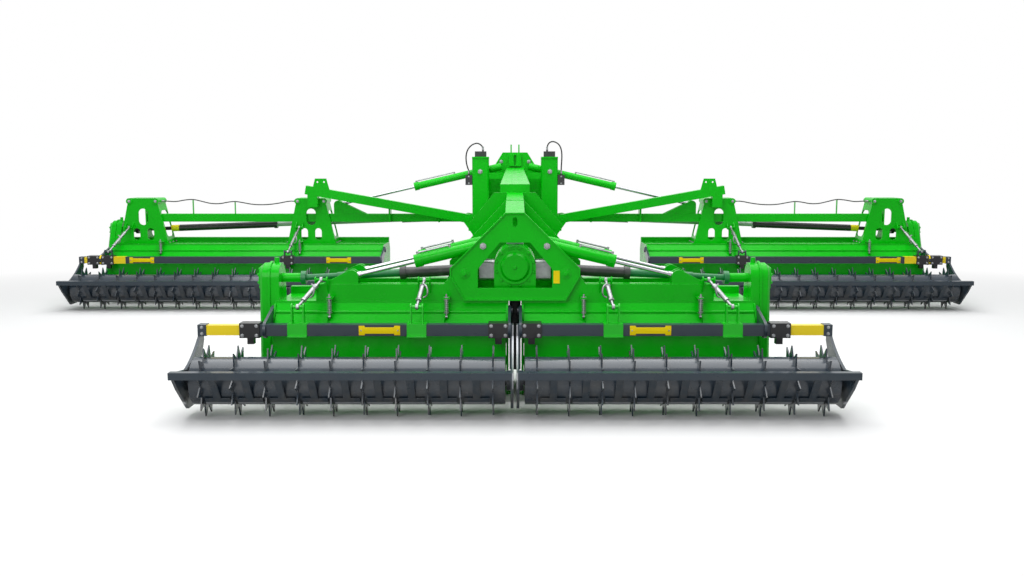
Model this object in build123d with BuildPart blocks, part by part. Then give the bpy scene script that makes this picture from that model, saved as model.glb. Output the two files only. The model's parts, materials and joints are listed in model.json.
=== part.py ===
# Folding rotary tiller: a carried frame with two rear units side by side and two wing units ahead.
# Millimetres. X is across the machine, Y is the direction of travel, Z is up, ground at Z = 0.
# The right-hand pieces are modelled and the left-hand ones are mirrored from them.
from build123d import *

import os
from dataclasses import dataclass
from math import atan2, cos, degrees, pi, radians, sin, sqrt, tan

# Overall layout
ROW_SPACING = 6000
REAR_Y = -3750
FRONT_Y = REAR_Y + ROW_SPACING
PIN_FIT = 0.3
SIDE_FIT = 2

# Packer roller; each unit measures Y forward from its roller axle
ROLLER_R = 300
AXLE_Z = ROLLER_R
DRUM_R = 200
DRUM_RIM = 14
DRUM_RECESS = 25
DRUM_HUB_R = 60
STUB_R = 40
STUB_INSET = 5
ROLLER_END_GAP = 45
RING_PITCH = 268
RING_MARGIN = 60
TEETH = 12
TOOTH_T = 12
TOOTH_VALLEY = 6

# Roller frame: crossbar, end plates, clamps, scrapers and forward arms
ARM_T = 25
ARM_DIP = (115, 489)
ARM_LEVEL = (-80, 412)
SHIELD_REAR = (-310, 290)
SHIELD_HEEL = -64
SHIELD_TOE = 110
SHIELD_LOW = 75
BEARING_T = 35
BEARING_R = 85
CAP_R = 70
CAP_T = 12
BAR_Y = 370
BAR_Z = 672
BAR = 100
BAR_END = 88
ARM_BLOCK = 75
CLAMP_W = 175
CLAMP = 130
CLAMP_LUG = 60
SADDLE_W = 170
SADDLE_T = 8
SADDLE_LIP = 28
SCRAPER_REACH = 400
SCRAPER_Z = 420
SCRAPER_H = 60
SCRAPER_D = 70
SCRAPER_LAP = 25
SCRAPER_W = 60
SCRAPER_T = 10
SCRAPER_EDGE_L = 70
SCRAPER_EDGE_GAP = 22
SCRAPER_GAP = 10
SCRAPER_ANGLE = 50
PIVOT = (690, 790)
PIVOT_R = 50
PIVOT_ROOT_R = 75
BOSS_R = 36
BOSS_T = 14

# Adjuster lugs, turnbuckles and tail-board springs
LUG_R = 30
LUG_T = 12
LUG_PIN_R = 13
LUG_SPREAD = 90
LUG_FOOT = 80
TURN_EYE_R = 26
TURN_EYE_W = 24
TURN_ROD_R = 13
TURN_TUBE_R = 22
SPRING_Y = 585
SPRING_PIN_Z = 752
SPRING_TOP = 955
SPRING_PIN_R = 8
SPRING_EYE_R = 16
SPRING_EYE_W = 20
SPRING_ROD_R = 9
SPRING_SEAT_R = 24
SPRING_SEAT_T = 6
SPRING_PLATE_Z = 912
SPRING_PLATE_T = 12
SPRING_PLATE_W = 60
SPRING_TAB_T = 10

# Tine rotor
ROTOR_Y = 1000
ROTOR_Z = 272
ROTOR_R = 260
ROTOR_END_GAP = 20
ROTOR_STUB_R = 45
TUBE_R = 70
BLADE_PITCH = 330
BLADE_STAGGER = 35
BLADES = 4
BLADE_W = 70
BLADE_T = 10
BLADE_FOOT = 90

# Hood, tail board and drive case
SHEET = 10
SIDE_T = 16
HOOD_TOP = 860
HOOD_REAR_Y = 690
HOOD_FRONT_Y = 1490
HOOD_FRONT_LOW = 350
HOOD_FRONT_TUCK = 40
HOOD_SHOULDER = 740
HOOD_BEND = 80
HOOD_DROP_Y = 40
HOOD_DROP = 60
LEDGE_T = 8
LEDGE_H = 20
FRONT_TUBE = 70
FRONT_TUBE_Y = 1375
SIDE_REAR = (560, 240)
SIDE_WAIST = (600, 740)
SIDE_HEEL = 720
SIDE_TOE = 1310
SIDE_CORNER = 70
SKID_W = 56
SKID_T = 14
SKID_REAR = 760
SKID_FRONT = 1220
SKID_CURL_R = 200
SKID_CURL = 50
BOARD_T = 8
BOARD_BEND = (500, 600)
BOARD_LOW = (470, 230)
BOARD_LIP = (492, 204)
KNUCKLE_R = 15
RIB_PITCH = 540
RIB_T = 8
RIB_H = 26
CASE_T = 180
CASE_LOW_R = 190
CASE_TOP_R = 140
CASE_IN_Z = 1055
CASE_EDGE = 24
CASE_RIM = 16
CASE_RIM_T = 20
CASE_COVER_R = 115
CASE_COVER_T = 14
INPUT_L = 180
INPUT_R = 42
VENT_R = 22
VENT_H = 50

# Unit widths: hood edges, and how far the roller frame laps past them
REAR_HOOD_IN = 62
REAR_HOOD_OUT = 2170
REAR_LAP_IN = 50
REAR_LAP_OUT = 595
WING_HOOD_IN = 1970
WING_HOOD_OUT = 6050
WING_LAP_IN = 25
WING_LAP_OUT = 330

# Places along X: clamps, turnbuckle ends and springs, from the hood's edges, the stands or the centre line
REAR_CLAMP_IN = 83
REAR_CLAMP_OUT = 140
REAR_TURN_IN = (857, 815)
REAR_TURN_OUT = (97, -60)
REAR_TURN_LOW = 150
REAR_SPRINGS = (614, 1660)
WING_CLAMP_IN = 230
WING_CLAMP_OUT = -90
WING_CLAMP_END = 115
WING_TURN_IN = 174
WING_TURN_OUT = 200
WING_TURN_LOW = 53
WING_TURN_HIGH = 1110
WING_SPRINGS = (100, -385)
TURN_REACH = 45

# Rear fold: carrier beams, hinge and A-frame
REAR_HINGE_X = 455
REAR_HINGE_Z = 1130
HINGE_R = 35
HINGE_HEAD = 15
EAR_R = 85
EAR_T = 30
EAR_FOOT = 300
BEAM_W = 140
BEAM_TOP = 1030
BEAM_IN = 400
BEAM_OUT = 1800
BRACE_W = 80
A_REAR_Y = 660
A_FRONT_Y = 1310
A_PLATE = 25
A_LOW = 887
A_FOOT = 457
A_SHOULDER = (585, 1110)
A_SHOULDER_RISE = 70
A_FRONT_SPREAD = 44
A_WINDOW = ((136, 1410), (335, 1170), (335, 1000))
A_REAR_TOP = 1679
A_FRONT_TOP = 1763
A_APEX = 85
A_RIM = 12
A_RIM_D = 20
A_FLOOR_W = 600
A_FLOOR_T = 26
REAR_BEAM_Y = 770
FRONT_BEAM_Y = 1230
REAR_SHAFT_Y = 1000

# Rear fold cylinders
RC_X = 286
RC_Z = 1380
RC_EYE_X = 1480
RC_EYE_Z = 1095
RC_R = 52
RC_ROD_R = 20
RC_MOUTH = 640
RC_INSIDE = 560
RC_PIN_R = 30
EYE_R = 52
EYE_W = 58
EYE_GAP = EYE_W + 2 * SIDE_FIT
CLEVIS_T = 25
CLEVIS_R = 62
COLLAR = 8
COLLAR_L = 70

# Wing fold: hinged beam, diagonal arm and stands
WING_HINGE_X = 720
WING_HINGE_Z = 1250
ARM_Y = 900
ARM_W = 130
ARM_END_X = 3150
ARM_END_Z = 1680
ARM_BLOCK_X = 3045
ARM_BLOCK_W = 150
FIN_L = 260
FIN_H = 170
FIN_CUT = 45
FIN_HOLES = (80, 180)
FIN_HOLE_Z = 118
WBEAM_Y = 1100
WBEAM_W = 120
WBEAM_END = WING_HOOD_OUT - 450
WEBS = (1150, 1900)
WEB_T = 24
WING_SHAFT_Y = 1270
STAND_Y0 = 980
STAND_Y1 = 1335
STAND_BASE = 730
STAND_HEAD = 420
STAND_TOP = 1550
STAND_WALL = 20
STAND_REAR_T = 16
STAND_FOOT_T = 12
STAND_FOOT_LAP = 30
STAND_OPENING = (295, 400)
STAND_OPENING_Y = 1178
STAND_OPENING_Z = 1160
STAND_SLOT = (250, 140)
STAND_SLOT_Z = 1268
STAND_ARCH = (180, 100)
STAND_ARCH_X = 105
STAND_ARCH_Z = 1005
STAND_KNOB_R = 46
INNER_STAND_X = WING_HOOD_IN + 1130
OUTER_STAND_X = WING_HOOD_OUT - 395

# Wing fold cylinders
WC_X = 500
WC_Z = 1960
WC_EYE_X = 2700
WC_EYE_Z = 1450
WC_R = 55
WC_ROD_R = 24
WC_TAIL = 300
WC_MOUTH = 1060
WC_INSIDE = 800
TRUNNION_R = 35
TRUNNION_L = 40

# Front frame: posts, base, mast and three-point hitch
POST_IN = 390
POST_OUT = 640
POST_Y0 = 775
POST_Y1 = 1025
POST_CORNER = 25
POST_TOP = 2150
POST_CAP_T = 24
BASE_LOW = 1000
BASE_TOP = 1165
BRACKET_DROP = 150
TIE_Z = 1890
TIE_H = 90
TIE_W = 180
MAST_Y = 1350
MAST_T = 30
MAST_TOP = 2240
MAST_HEAD = 190
MAST_SHOULDER = 1520
MAST_LOW = 540
MAST_MARGIN = 56
HITCH_REACH = 460
LINK_Z = 680
LINK_SPAN = 1168
LINK_PIN_R = 25.4
LINK_PIN_L = 150
LINK_LUG_T = 40
LINK_LUG_R = 60
TOP_PIN_R = 22.5
TOP_LUG_R = 55
TOP_LUG_T = 30
TOP_LUG_X = 50
TOP_PIN_REACH = 130
MAST_HEIGHT = 1100
PTO_R = 22.2
PTO_L = 110

# Spine, gearboxes and drive line
SPINE_REAR_W = 170
SPINE_REAR_TOP = 1740
SPINE_H = 300
SPINE_W = 310
NECK_W = 260
NECK_H = 320
SPINE_MID_TOP = 1887
NECK_TOP = 1990
SPINE_FRONT_TOP = 2004
BULKHEAD_Y = 2270
BULKHEAD_T = 25
BULKHEAD_TOP = 1800
BULKHEAD_HEAD = 215
BULKHEAD_SPAN = 490
BULKHEAD_KNEE = 330
BULKHEAD_FOOT = 400
BULKHEAD_DEPTH = 480
HANGER_Y = 700
HANGER_W = 140
HANGER_T = 30
GEARBOX_L = 480
GEARBOX_R = 190
GEARBOX_Z = 1180
COVER_R = 158
COVER_T = 46
FRONT_BOX_L = 250
FRONT_BOX_W = 500
FRONT_BOX_LOW = 1060
FRONT_BOX_H = 340
GUARD_IN = 190
GUARD_L = 140
GUARD_SIZE = (170, 190)
GUARD_T = 6
SHAFT_R = 45
TUBE_SHAFT_R = 28
GUARD_R = 50
BELL_R = 62
JOINT_R = 50
JOINT_W = 90
JOINT_GAP = 8
SLEEVE_R = 36
REAR_GUARDS = ((70, 560, GUARD_R), (560, 615, BELL_R), (615, 1200, SLEEVE_R))
WING_GUARDS = (
    (130, 1030, GUARD_R),
    (1030, 2960, SLEEVE_R),
    (2960, 3010, BELL_R),
    (3010, 4600, GUARD_R),
)

# Hydraulic blocks and hoses
VALVE = (170, 130, 80)
MANIFOLD = (100, 50, 150)
MANIFOLD_Z = 1830
NIPPLE_R = 15
NIPPLE_H = 20
NIPPLE_X = 480
NIPPLE_Y = 870
HOSE_R = 10
WING_HOSE_R = 8
HOSE_BEND = 0.45
CLIPS = ((INNER_STAND_X + 1170, 1496), (OUTER_STAND_X - 745, 1526))
CLIP_Y = 1060
CLIP_W = 40
CLIP_T = 10

os.makedirs("parts", exist_ok=True)


@dataclass
class Unit:
    y: float
    hood_in: float
    hood_out: float
    arm_in: float
    arm_out: float
    shaft_y: float
    clamps: tuple
    adjusters: tuple
    low_pin: float
    high_pin: tuple
    saddles: bool
    springs: tuple


REAR = Unit(
    y=REAR_Y,
    hood_in=REAR_HOOD_IN,
    hood_out=REAR_HOOD_OUT,
    arm_in=REAR_HOOD_IN - REAR_LAP_IN,
    arm_out=REAR_HOOD_OUT + REAR_LAP_OUT,
    shaft_y=REAR_SHAFT_Y,
    clamps=(REAR_HOOD_IN + REAR_CLAMP_IN, REAR_HOOD_OUT + REAR_CLAMP_OUT),
    adjusters=(REAR_TURN_IN, (BEAM_OUT + REAR_TURN_OUT[0], BEAM_OUT + REAR_TURN_OUT[1])),
    low_pin=BAR_Z + BAR / 2 + REAR_TURN_LOW,
    high_pin=(REAR_BEAM_Y - BEAM_W / 2 - TURN_REACH, BEAM_TOP + TURN_REACH),
    saddles=True,
    springs=REAR_SPRINGS,
)
WING = Unit(
    y=FRONT_Y,
    hood_in=WING_HOOD_IN,
    hood_out=WING_HOOD_OUT,
    arm_in=WING_HOOD_IN - WING_LAP_IN,
    arm_out=WING_HOOD_OUT + WING_LAP_OUT,
    shaft_y=WING_SHAFT_Y,
    clamps=(
        INNER_STAND_X + WING_CLAMP_IN,
        WING_HOOD_OUT + WING_CLAMP_OUT,
        WING_HOOD_OUT + WING_CLAMP_END,
    ),
    adjusters=(
        (INNER_STAND_X + WING_CLAMP_IN, INNER_STAND_X + WING_TURN_IN),
        (WING_HOOD_OUT + WING_CLAMP_OUT, OUTER_STAND_X + WING_TURN_OUT),
    ),
    low_pin=BAR_Z + CLAMP / 2 + WING_TURN_LOW,
    high_pin=(STAND_Y0 - TURN_REACH, WING_TURN_HIGH),
    saddles=False,
    springs=(INNER_STAND_X + WING_SPRINGS[0], OUTER_STAND_X + WING_SPRINGS[1]),
)


def save(part, name):
    part.label = name
    export_step(part, f"parts/{name}.step")


def save_pair(part, name):
    save(part, f"{name}_right")
    save(mirror(part, about=Plane.YZ), f"{name}_left")


def side_view(x):
    return Plane.YZ.offset(x)


def rear_view(y):
    return Plane.XZ.offset(-y)


def along(start, end):
    direction = Vector(*end) - Vector(*start)
    return Plane(origin=start, z_dir=direction)


# Two ears with a pin between them, standing on a foot; pin and foot are places in Y and Z
def make_ears(x, pin, foot, foot_size):
    with BuildPart() as ears:
        with BuildSketch(side_view(x - LUG_SPREAD / 2 - LUG_T), side_view(x + LUG_SPREAD / 2)):
            with Locations(pin):
                Circle(LUG_R)
            with Locations(foot):
                Rectangle(*foot_size)
            make_hull()
        extrude(amount=LUG_T)
        with BuildSketch(side_view(x - LUG_SPREAD / 2 - LUG_T)):
            with Locations(pin):
                Circle(LUG_PIN_R)
        extrude(amount=LUG_SPREAD + 2 * LUG_T)
    return ears.part


# Hood of a unit: bent top sheet with a rear ledge, side plates, curled skids, front tube, spring brackets
def make_hood(unit):
    y, width = unit.y, unit.hood_out - unit.hood_in
    middle = (unit.hood_in + unit.hood_out) / 2
    with BuildPart() as hood:
        with BuildSketch(side_view(unit.hood_in)):
            with BuildLine():
                Polyline(
                    (y + HOOD_FRONT_Y - HOOD_FRONT_TUCK, HOOD_FRONT_LOW),
                    (y + HOOD_FRONT_Y, HOOD_SHOULDER),
                    (y + HOOD_FRONT_Y - HOOD_BEND, HOOD_TOP),
                    (y + HOOD_REAR_Y, HOOD_TOP),
                    (y + HOOD_REAR_Y - HOOD_DROP_Y, HOOD_TOP - HOOD_DROP),
                )
                offset(amount=SHEET, side=Side.LEFT, kind=Kind.INTERSECTION)
            make_face()
        extrude(amount=width)
        with BuildSketch(side_view(unit.hood_in), side_view(unit.hood_out - SIDE_T)) as side_plate:
            Polygon(
                (y + HOOD_REAR_Y - HOOD_DROP_Y, HOOD_TOP - SHEET / 2),
                (y + HOOD_FRONT_Y - HOOD_BEND - SHEET / 2, HOOD_TOP - SHEET / 2),
                (y + HOOD_FRONT_Y - SHEET / 2, HOOD_SHOULDER),
                (y + HOOD_FRONT_Y - HOOD_FRONT_TUCK - SHEET / 2, HOOD_FRONT_LOW),
                (y + SIDE_TOE, 0),
                (y + SIDE_HEEL, 0),
                (y + SIDE_REAR[0], SIDE_REAR[1]),
                (y + SIDE_WAIST[0], SIDE_WAIST[1]),
                align=None,
            )
            fillet(side_plate.vertices().group_by(Axis.Y)[0], radius=SIDE_CORNER)
        extrude(amount=SIDE_T)
        with BuildSketch(
            side_view(unit.hood_in + SIDE_T - SKID_W), side_view(unit.hood_out - SIDE_T)
        ):
            with BuildLine():
                run = Line((y + SKID_REAR, 0), (y + SKID_FRONT, 0))
                JernArc(start=run @ 1, tangent=run % 1, radius=SKID_CURL_R, arc_size=SKID_CURL)
                offset(amount=SKID_T, side=Side.LEFT)
            make_face()
        extrude(amount=SKID_W)
        with Locations((middle, y + FRONT_TUBE_Y, HOOD_TOP + FRONT_TUBE / 2)):
            Box(width, FRONT_TUBE, FRONT_TUBE)
        with Locations((middle, y + HOOD_REAR_Y + LEDGE_T / 2, HOOD_TOP + LEDGE_H / 2)):
            Box(width, LEDGE_T, LEDGE_H)
        plate_top = SPRING_PLATE_Z + SPRING_PLATE_T
        plate_run = HOOD_REAR_Y + LEDGE_T - SPRING_Y + SPRING_SEAT_R
        for x in unit.springs:
            with Locations((x, y + HOOD_REAR_Y + LEDGE_T / 2, (HOOD_TOP + plate_top) / 2)):
                Box(SPRING_PLATE_W, LEDGE_T, plate_top - HOOD_TOP)
            with Locations(
                (x, y + HOOD_REAR_Y + LEDGE_T - plate_run / 2, plate_top - SPRING_PLATE_T / 2)
            ):
                Box(SPRING_PLATE_W, plate_run, SPRING_PLATE_T)
            with BuildSketch(Plane.XY.offset(SPRING_PLATE_Z)):
                with Locations((x, y + SPRING_Y)):
                    Circle(SPRING_ROD_R + PIN_FIT)
            extrude(amount=SPRING_PLATE_T, mode=Mode.SUBTRACT)
        with BuildSketch(side_view(unit.hood_in)):
            with Locations((y + ROTOR_Y, ROTOR_Z)):
                Circle(ROTOR_STUB_R + PIN_FIT)
        extrude(amount=width, mode=Mode.SUBTRACT)
    return hood.part


# Side drive case: chamfered casing with a joint rim, covers, input tube, vent and blind rotor bearing
def make_case(unit):
    x, shaft_y = unit.hood_out, unit.y + unit.shaft_y
    rotor = (unit.y + ROTOR_Y, ROTOR_Z)
    with BuildPart() as case:
        with BuildSketch(side_view(x)):
            with Locations(rotor):
                Circle(CASE_LOW_R)
            with Locations((shaft_y, CASE_IN_Z)):
                Circle(CASE_TOP_R)
            make_hull()
        extrude(amount=CASE_T)
        chamfer(case.faces().sort_by(Axis.X)[-1].edges(), length=CASE_EDGE)
        with BuildSketch(side_view(x + (CASE_T - CASE_RIM_T) / 2)):
            with Locations(rotor):
                Circle(CASE_LOW_R + CASE_RIM)
            with Locations((shaft_y, CASE_IN_Z)):
                Circle(CASE_TOP_R + CASE_RIM)
            make_hull()
        extrude(amount=CASE_RIM_T)
        with BuildSketch(side_view(x + CASE_T)):
            with Locations(rotor, (shaft_y, CASE_IN_Z)):
                Circle(CASE_COVER_R)
        extrude(amount=CASE_COVER_T, taper=20)
        with BuildSketch(side_view(x - INPUT_L)):
            with Locations((shaft_y, CASE_IN_Z)):
                Circle(INPUT_R)
        extrude(amount=INPUT_L)
        with BuildSketch(Plane.XY.offset(CASE_IN_Z)):
            with Locations((x + CASE_T / 4, shaft_y)):
                Circle(VENT_R)
        extrude(amount=CASE_TOP_R + VENT_H)
        with BuildSketch(side_view(x)):
            with Locations(rotor):
                Circle(ROTOR_STUB_R + PIN_FIT)
        extrude(amount=CASE_T / 2, mode=Mode.SUBTRACT)
    return case.part


# Sprung tail board: bent sheet on a knuckle at the hood's rear edge, with ribs, lower lip and spring tabs
def make_tail_board(unit):
    y = unit.y
    start = unit.hood_in + SIDE_T + SIDE_FIT
    width = unit.hood_out - unit.hood_in - 2 * SIDE_T - 2 * SIDE_FIT
    knuckle = (HOOD_REAR_Y - HOOD_DROP_Y - SHEET / 2, HOOD_TOP - HOOD_DROP - KNUCKLE_R)
    slope = atan2(knuckle[1] - BOARD_BEND[1], knuckle[0] - BOARD_BEND[0])
    rib_count = int(width / RIB_PITCH)
    ribs = [start + width * (i + 0.5) / rib_count for i in range(rib_count)]
    with BuildPart() as board:
        with BuildSketch(side_view(start)):
            with BuildLine():
                Polyline(
                    (y + knuckle[0], knuckle[1]),
                    (y + BOARD_BEND[0], BOARD_BEND[1]),
                    (y + BOARD_LOW[0], BOARD_LOW[1]),
                    (y + BOARD_LIP[0], BOARD_LIP[1]),
                )
                offset(amount=BOARD_T, side=Side.LEFT, kind=Kind.INTERSECTION)
            make_face()
        extrude(amount=width)
        with BuildSketch(side_view(start)):
            with Locations((y + knuckle[0], knuckle[1])):
                Circle(KNUCKLE_R)
        extrude(amount=width)
        foot = (y + BOARD_BEND[0], BOARD_BEND[1])
        head = (y + (knuckle[0] + BOARD_BEND[0]) / 2, (knuckle[1] + BOARD_BEND[1]) / 2)
        with BuildSketch(*[side_view(x - RIB_T / 2) for x in ribs]):
            Polygon(
                foot,
                head,
                (head[0] - RIB_H * sin(slope), head[1] + RIB_H * cos(slope)),
                (foot[0] - RIB_H * sin(slope), foot[1] + RIB_H * cos(slope)),
                align=None,
            )
        extrude(amount=RIB_T)
        tab_foot_z = BOARD_BEND[1] + (SPRING_Y - BOARD_BEND[0]) * tan(slope)
        for x in unit.springs:
            with BuildSketch(side_view(x + SPRING_EYE_W / 2 + PIN_FIT)):
                with Locations((y + SPRING_Y, SPRING_PIN_Z)):
                    Circle(SPRING_EYE_R)
                with Locations(Location((y + SPRING_Y, tab_foot_z), degrees(slope))):
                    Rectangle(3 * SPRING_EYE_R, BOARD_T / 2)
                make_hull()
            extrude(amount=SPRING_TAB_T)
            with BuildSketch(side_view(x - SPRING_EYE_W / 2 - SPRING_SEAT_T)):
                with Locations((y + SPRING_Y, SPRING_PIN_Z)):
                    Circle(SPRING_PIN_R)
            extrude(amount=SPRING_EYE_W + SPRING_SEAT_T + PIN_FIT + SPRING_TAB_T)
    return board.part


def ring_places(unit):
    start = unit.arm_in + ARM_T + ROLLER_END_GAP
    end = unit.arm_out - ARM_T - ROLLER_END_GAP
    count = int((end - start - 2 * RING_MARGIN) / RING_PITCH) + 1
    first = (start + end - (count - 1) * RING_PITCH) / 2
    return [first + i * RING_PITCH for i in range(count)]


# Roller frame: crossbar in clamps, end plates with bearings, scrapers on a beam, forward arms, lugs
def make_roller_frame(unit):
    y, bar_y = unit.y, unit.y + BAR_Y
    half = BAR / 2
    main_end = unit.clamps[1]
    beam_y = y - SCRAPER_REACH + SCRAPER_D / 2
    beam_low = SCRAPER_Z - SCRAPER_H / 2
    tip_r = DRUM_R + SCRAPER_GAP
    tip = (
        y - tip_r * cos(radians(SCRAPER_ANGLE)),
        AXLE_Z - tip_r * sin(radians(SCRAPER_ANGLE)),
    )
    root = (beam_y + SCRAPER_D / 4, beam_low + SCRAPER_T)
    lean = atan2(tip[1] - root[1], tip[0] - root[0])
    back = (SCRAPER_T * sin(lean), -SCRAPER_T * cos(lean))
    edge = (tip[0] - SCRAPER_EDGE_L * cos(lean), tip[1] - SCRAPER_EDGE_L * sin(lean))
    edge_w = RING_PITCH - TOOTH_T - 2 * SCRAPER_EDGE_GAP
    rings = ring_places(unit)
    with BuildPart() as frame:
        with Locations(((unit.arm_in + main_end) / 2, bar_y, BAR_Z)):
            Box(main_end - unit.arm_in, BAR, BAR)
        with Locations(((main_end + unit.arm_out) / 2, bar_y, BAR_Z)):
            Box(unit.arm_out - main_end, BAR_END, BAR_END)
        with Locations((unit.arm_out - ARM_BLOCK / 2, bar_y, BAR_Z)):
            Box(ARM_BLOCK, BAR, BAR)
        for x in unit.clamps:
            with Locations((x, bar_y, BAR_Z)):
                Box(CLAMP_W, CLAMP, CLAMP)
            with Locations((x, bar_y, BAR_Z - CLAMP / 2 - CLAMP_LUG / 2)):
                Box(CLAMP_W / 3, CLAMP / 2, CLAMP_LUG)
        with BuildSketch(side_view(unit.arm_in), side_view(unit.arm_out - ARM_T)):
            with BuildLine():
                cheek = Polyline(
                    (bar_y + half, BAR_Z - BAR),
                    (bar_y + half, BAR_Z + half),
                    (bar_y - half, BAR_Z + half),
                    (bar_y - half, BAR_Z - half),
                )
                dip = ThreePointArc(
                    cheek @ 1, (y + ARM_DIP[0], ARM_DIP[1]), (y + ARM_LEVEL[0], ARM_LEVEL[1])
                )
                Polyline(
                    dip @ 1,
                    (y - SCRAPER_REACH, beam_low + SCRAPER_H),
                    (y - SCRAPER_REACH, beam_low),
                    (y + SHIELD_REAR[0], SHIELD_REAR[1]),
                    (y + SHIELD_HEEL, SHIELD_LOW),
                    (y + SHIELD_TOE, SHIELD_LOW),
                    cheek @ 0,
                )
            make_face()
        extrude(amount=ARM_T)
        with BuildSketch(
            side_view(unit.arm_in + ARM_T), side_view(unit.arm_out - ARM_T - BEARING_T)
        ):
            with Locations((y, AXLE_Z)):
                Circle(BEARING_R)
        extrude(amount=BEARING_T)
        with BuildSketch(side_view(unit.hood_in - ARM_T), side_view(unit.hood_out)):
            with Locations((bar_y, BAR_Z)):
                Circle(PIVOT_ROOT_R)
            with Locations((y + PIVOT[0], PIVOT[1])):
                Circle(PIVOT_R)
            make_hull()
        extrude(amount=ARM_T)
        with BuildSketch(
            side_view(unit.hood_in - ARM_T - BOSS_T), side_view(unit.hood_out + ARM_T)
        ):
            with Locations((y + PIVOT[0], PIVOT[1])):
                Circle(BOSS_R)
        extrude(amount=BOSS_T)
        with Locations(
            ((unit.arm_in + unit.arm_out + SCRAPER_LAP) / 2, beam_y, beam_low + SCRAPER_H / 2)
        ):
            Box(unit.arm_out + SCRAPER_LAP - unit.arm_in, SCRAPER_D, SCRAPER_H)
        for top, width in ((root, SCRAPER_W), (edge, edge_w)):
            starts = [(a + b - width) / 2 for a, b in zip(rings, rings[1:])]
            with BuildSketch(*[side_view(x) for x in starts]):
                Polygon(
                    top,
                    tip,
                    (tip[0] + back[0], tip[1] + back[1]),
                    (top[0] + back[0], top[1] + back[1]),
                    align=None,
                )
            extrude(amount=width)
        for low_x, _ in unit.adjusters:
            if unit.saddles:
                with Locations((low_x, bar_y, BAR_Z)):
                    Box(SADDLE_W, BAR + 2 * SADDLE_T, BAR + 2 * SADDLE_T)
                with Locations((low_x, bar_y - half - SADDLE_LIP / 2, BAR_Z - half - SADDLE_T / 2)):
                    Box(SADDLE_W, SADDLE_LIP + SADDLE_T, SADDLE_T)
            add(make_ears(low_x, (bar_y, unit.low_pin), (bar_y, BAR_Z + half), (LUG_FOOT, 2 * SADDLE_T)))
        with BuildSketch(side_view(unit.arm_in)):
            with Locations((y, AXLE_Z)):
                Circle(STUB_R + PIN_FIT)
        extrude(amount=unit.arm_out - unit.arm_in, mode=Mode.SUBTRACT)
        with BuildSketch(side_view(unit.arm_out)):
            with Locations((y, AXLE_Z)):
                Circle(CAP_R)
        extrude(amount=CAP_T, taper=25)
    return frame.part


# Outline of a toothed ring, with its tips at the roller's radius and its valleys just above the drum
def ring_points(turn):
    step = 2 * pi / TEETH
    valley = DRUM_R + TOOTH_VALLEY
    points = []
    for k in range(TEETH):
        tip = (k + turn) * step
        points.append((ROLLER_R * sin(tip), ROLLER_R * cos(tip)))
        points.append((valley * sin(tip + step / 2), valley * cos(tip + step / 2)))
    return points


# Packer roller: drum with recessed ends, stub axles and toothed rings, every second one turned half a tooth
def make_roller(unit):
    start = unit.arm_in + ARM_T + ROLLER_END_GAP
    end = unit.arm_out - ARM_T - ROLLER_END_GAP
    rings = ring_places(unit)
    with BuildPart() as roller:
        with BuildSketch(side_view(start)):
            with Locations((unit.y, AXLE_Z)):
                Circle(DRUM_R)
        extrude(amount=end - start)
        with BuildSketch(side_view(start), side_view(end - DRUM_RECESS)):
            with Locations((unit.y, AXLE_Z)):
                Circle(DRUM_R - DRUM_RIM)
                Circle(DRUM_HUB_R, mode=Mode.SUBTRACT)
        extrude(amount=DRUM_RECESS, mode=Mode.SUBTRACT)
        with BuildSketch(side_view(unit.arm_in + STUB_INSET)):
            with Locations((unit.y, AXLE_Z)):
                Circle(STUB_R)
        extrude(amount=unit.arm_out - unit.arm_in - 2 * STUB_INSET)
        for turn, places in ((0, rings[::2]), (0.5, rings[1::2])):
            with BuildSketch(*[side_view(x - TOOTH_T / 2) for x in places]):
                with Locations((unit.y, AXLE_Z)):
                    Polygon(*ring_points(turn), align=None)
            extrude(amount=TOOTH_T)
    return roller.part


# L-shaped rotor blade standing on the tube, its foot turned to the right or the left
def make_blade(side):
    top = sqrt(ROTOR_R**2 - (BLADE_W / 2) ** 2)
    back = side * BLADE_T
    foot = side * BLADE_FOOT
    root = TUBE_R - BLADE_T
    with BuildPart() as blade:
        with BuildSketch(rear_view(0)):
            Polygon(
                (0, root),
                (back, root),
                (back, top - BLADE_T),
                (foot, top - BLADE_T),
                (foot, top),
                (0, top),
                align=None,
            )
        extrude(amount=BLADE_W / 2, both=True)
    return blade.part


# Tine rotor: tube on stub axles with stations of blades turned both ways
def make_rotor(unit):
    start = unit.hood_in + SIDE_T + ROTOR_END_GAP
    end = unit.hood_out - SIDE_T - ROTOR_END_GAP
    count = int((end - start - 2 * BLADE_FOOT) / BLADE_PITCH) + 1
    first = (start + end - (count - 1) * BLADE_PITCH) / 2
    stations = [first + i * BLADE_PITCH for i in range(count)]
    axle = (unit.y + ROTOR_Y, ROTOR_Z)
    blade_pair = (make_blade(1), make_blade(-1))
    blades = []
    for i, x in enumerate(stations):
        for k in range(BLADES):
            turn = 360 / BLADES * k + BLADE_STAGGER * i
            blades.append(blade_pair[k % 2].moved(Location((x, *axle), (turn, 0, 0))))
    with BuildPart() as rotor:
        with BuildSketch(side_view(start)):
            with Locations(axle):
                Circle(TUBE_R)
        extrude(amount=end - start)
        with BuildSketch(side_view(unit.hood_in + SIDE_FIT)):
            with Locations(axle):
                Circle(ROTOR_STUB_R)
        extrude(amount=unit.hood_out - unit.hood_in + CASE_T / 2 - 2 * SIDE_FIT)
        add(blades)
    return rotor.part


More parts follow.
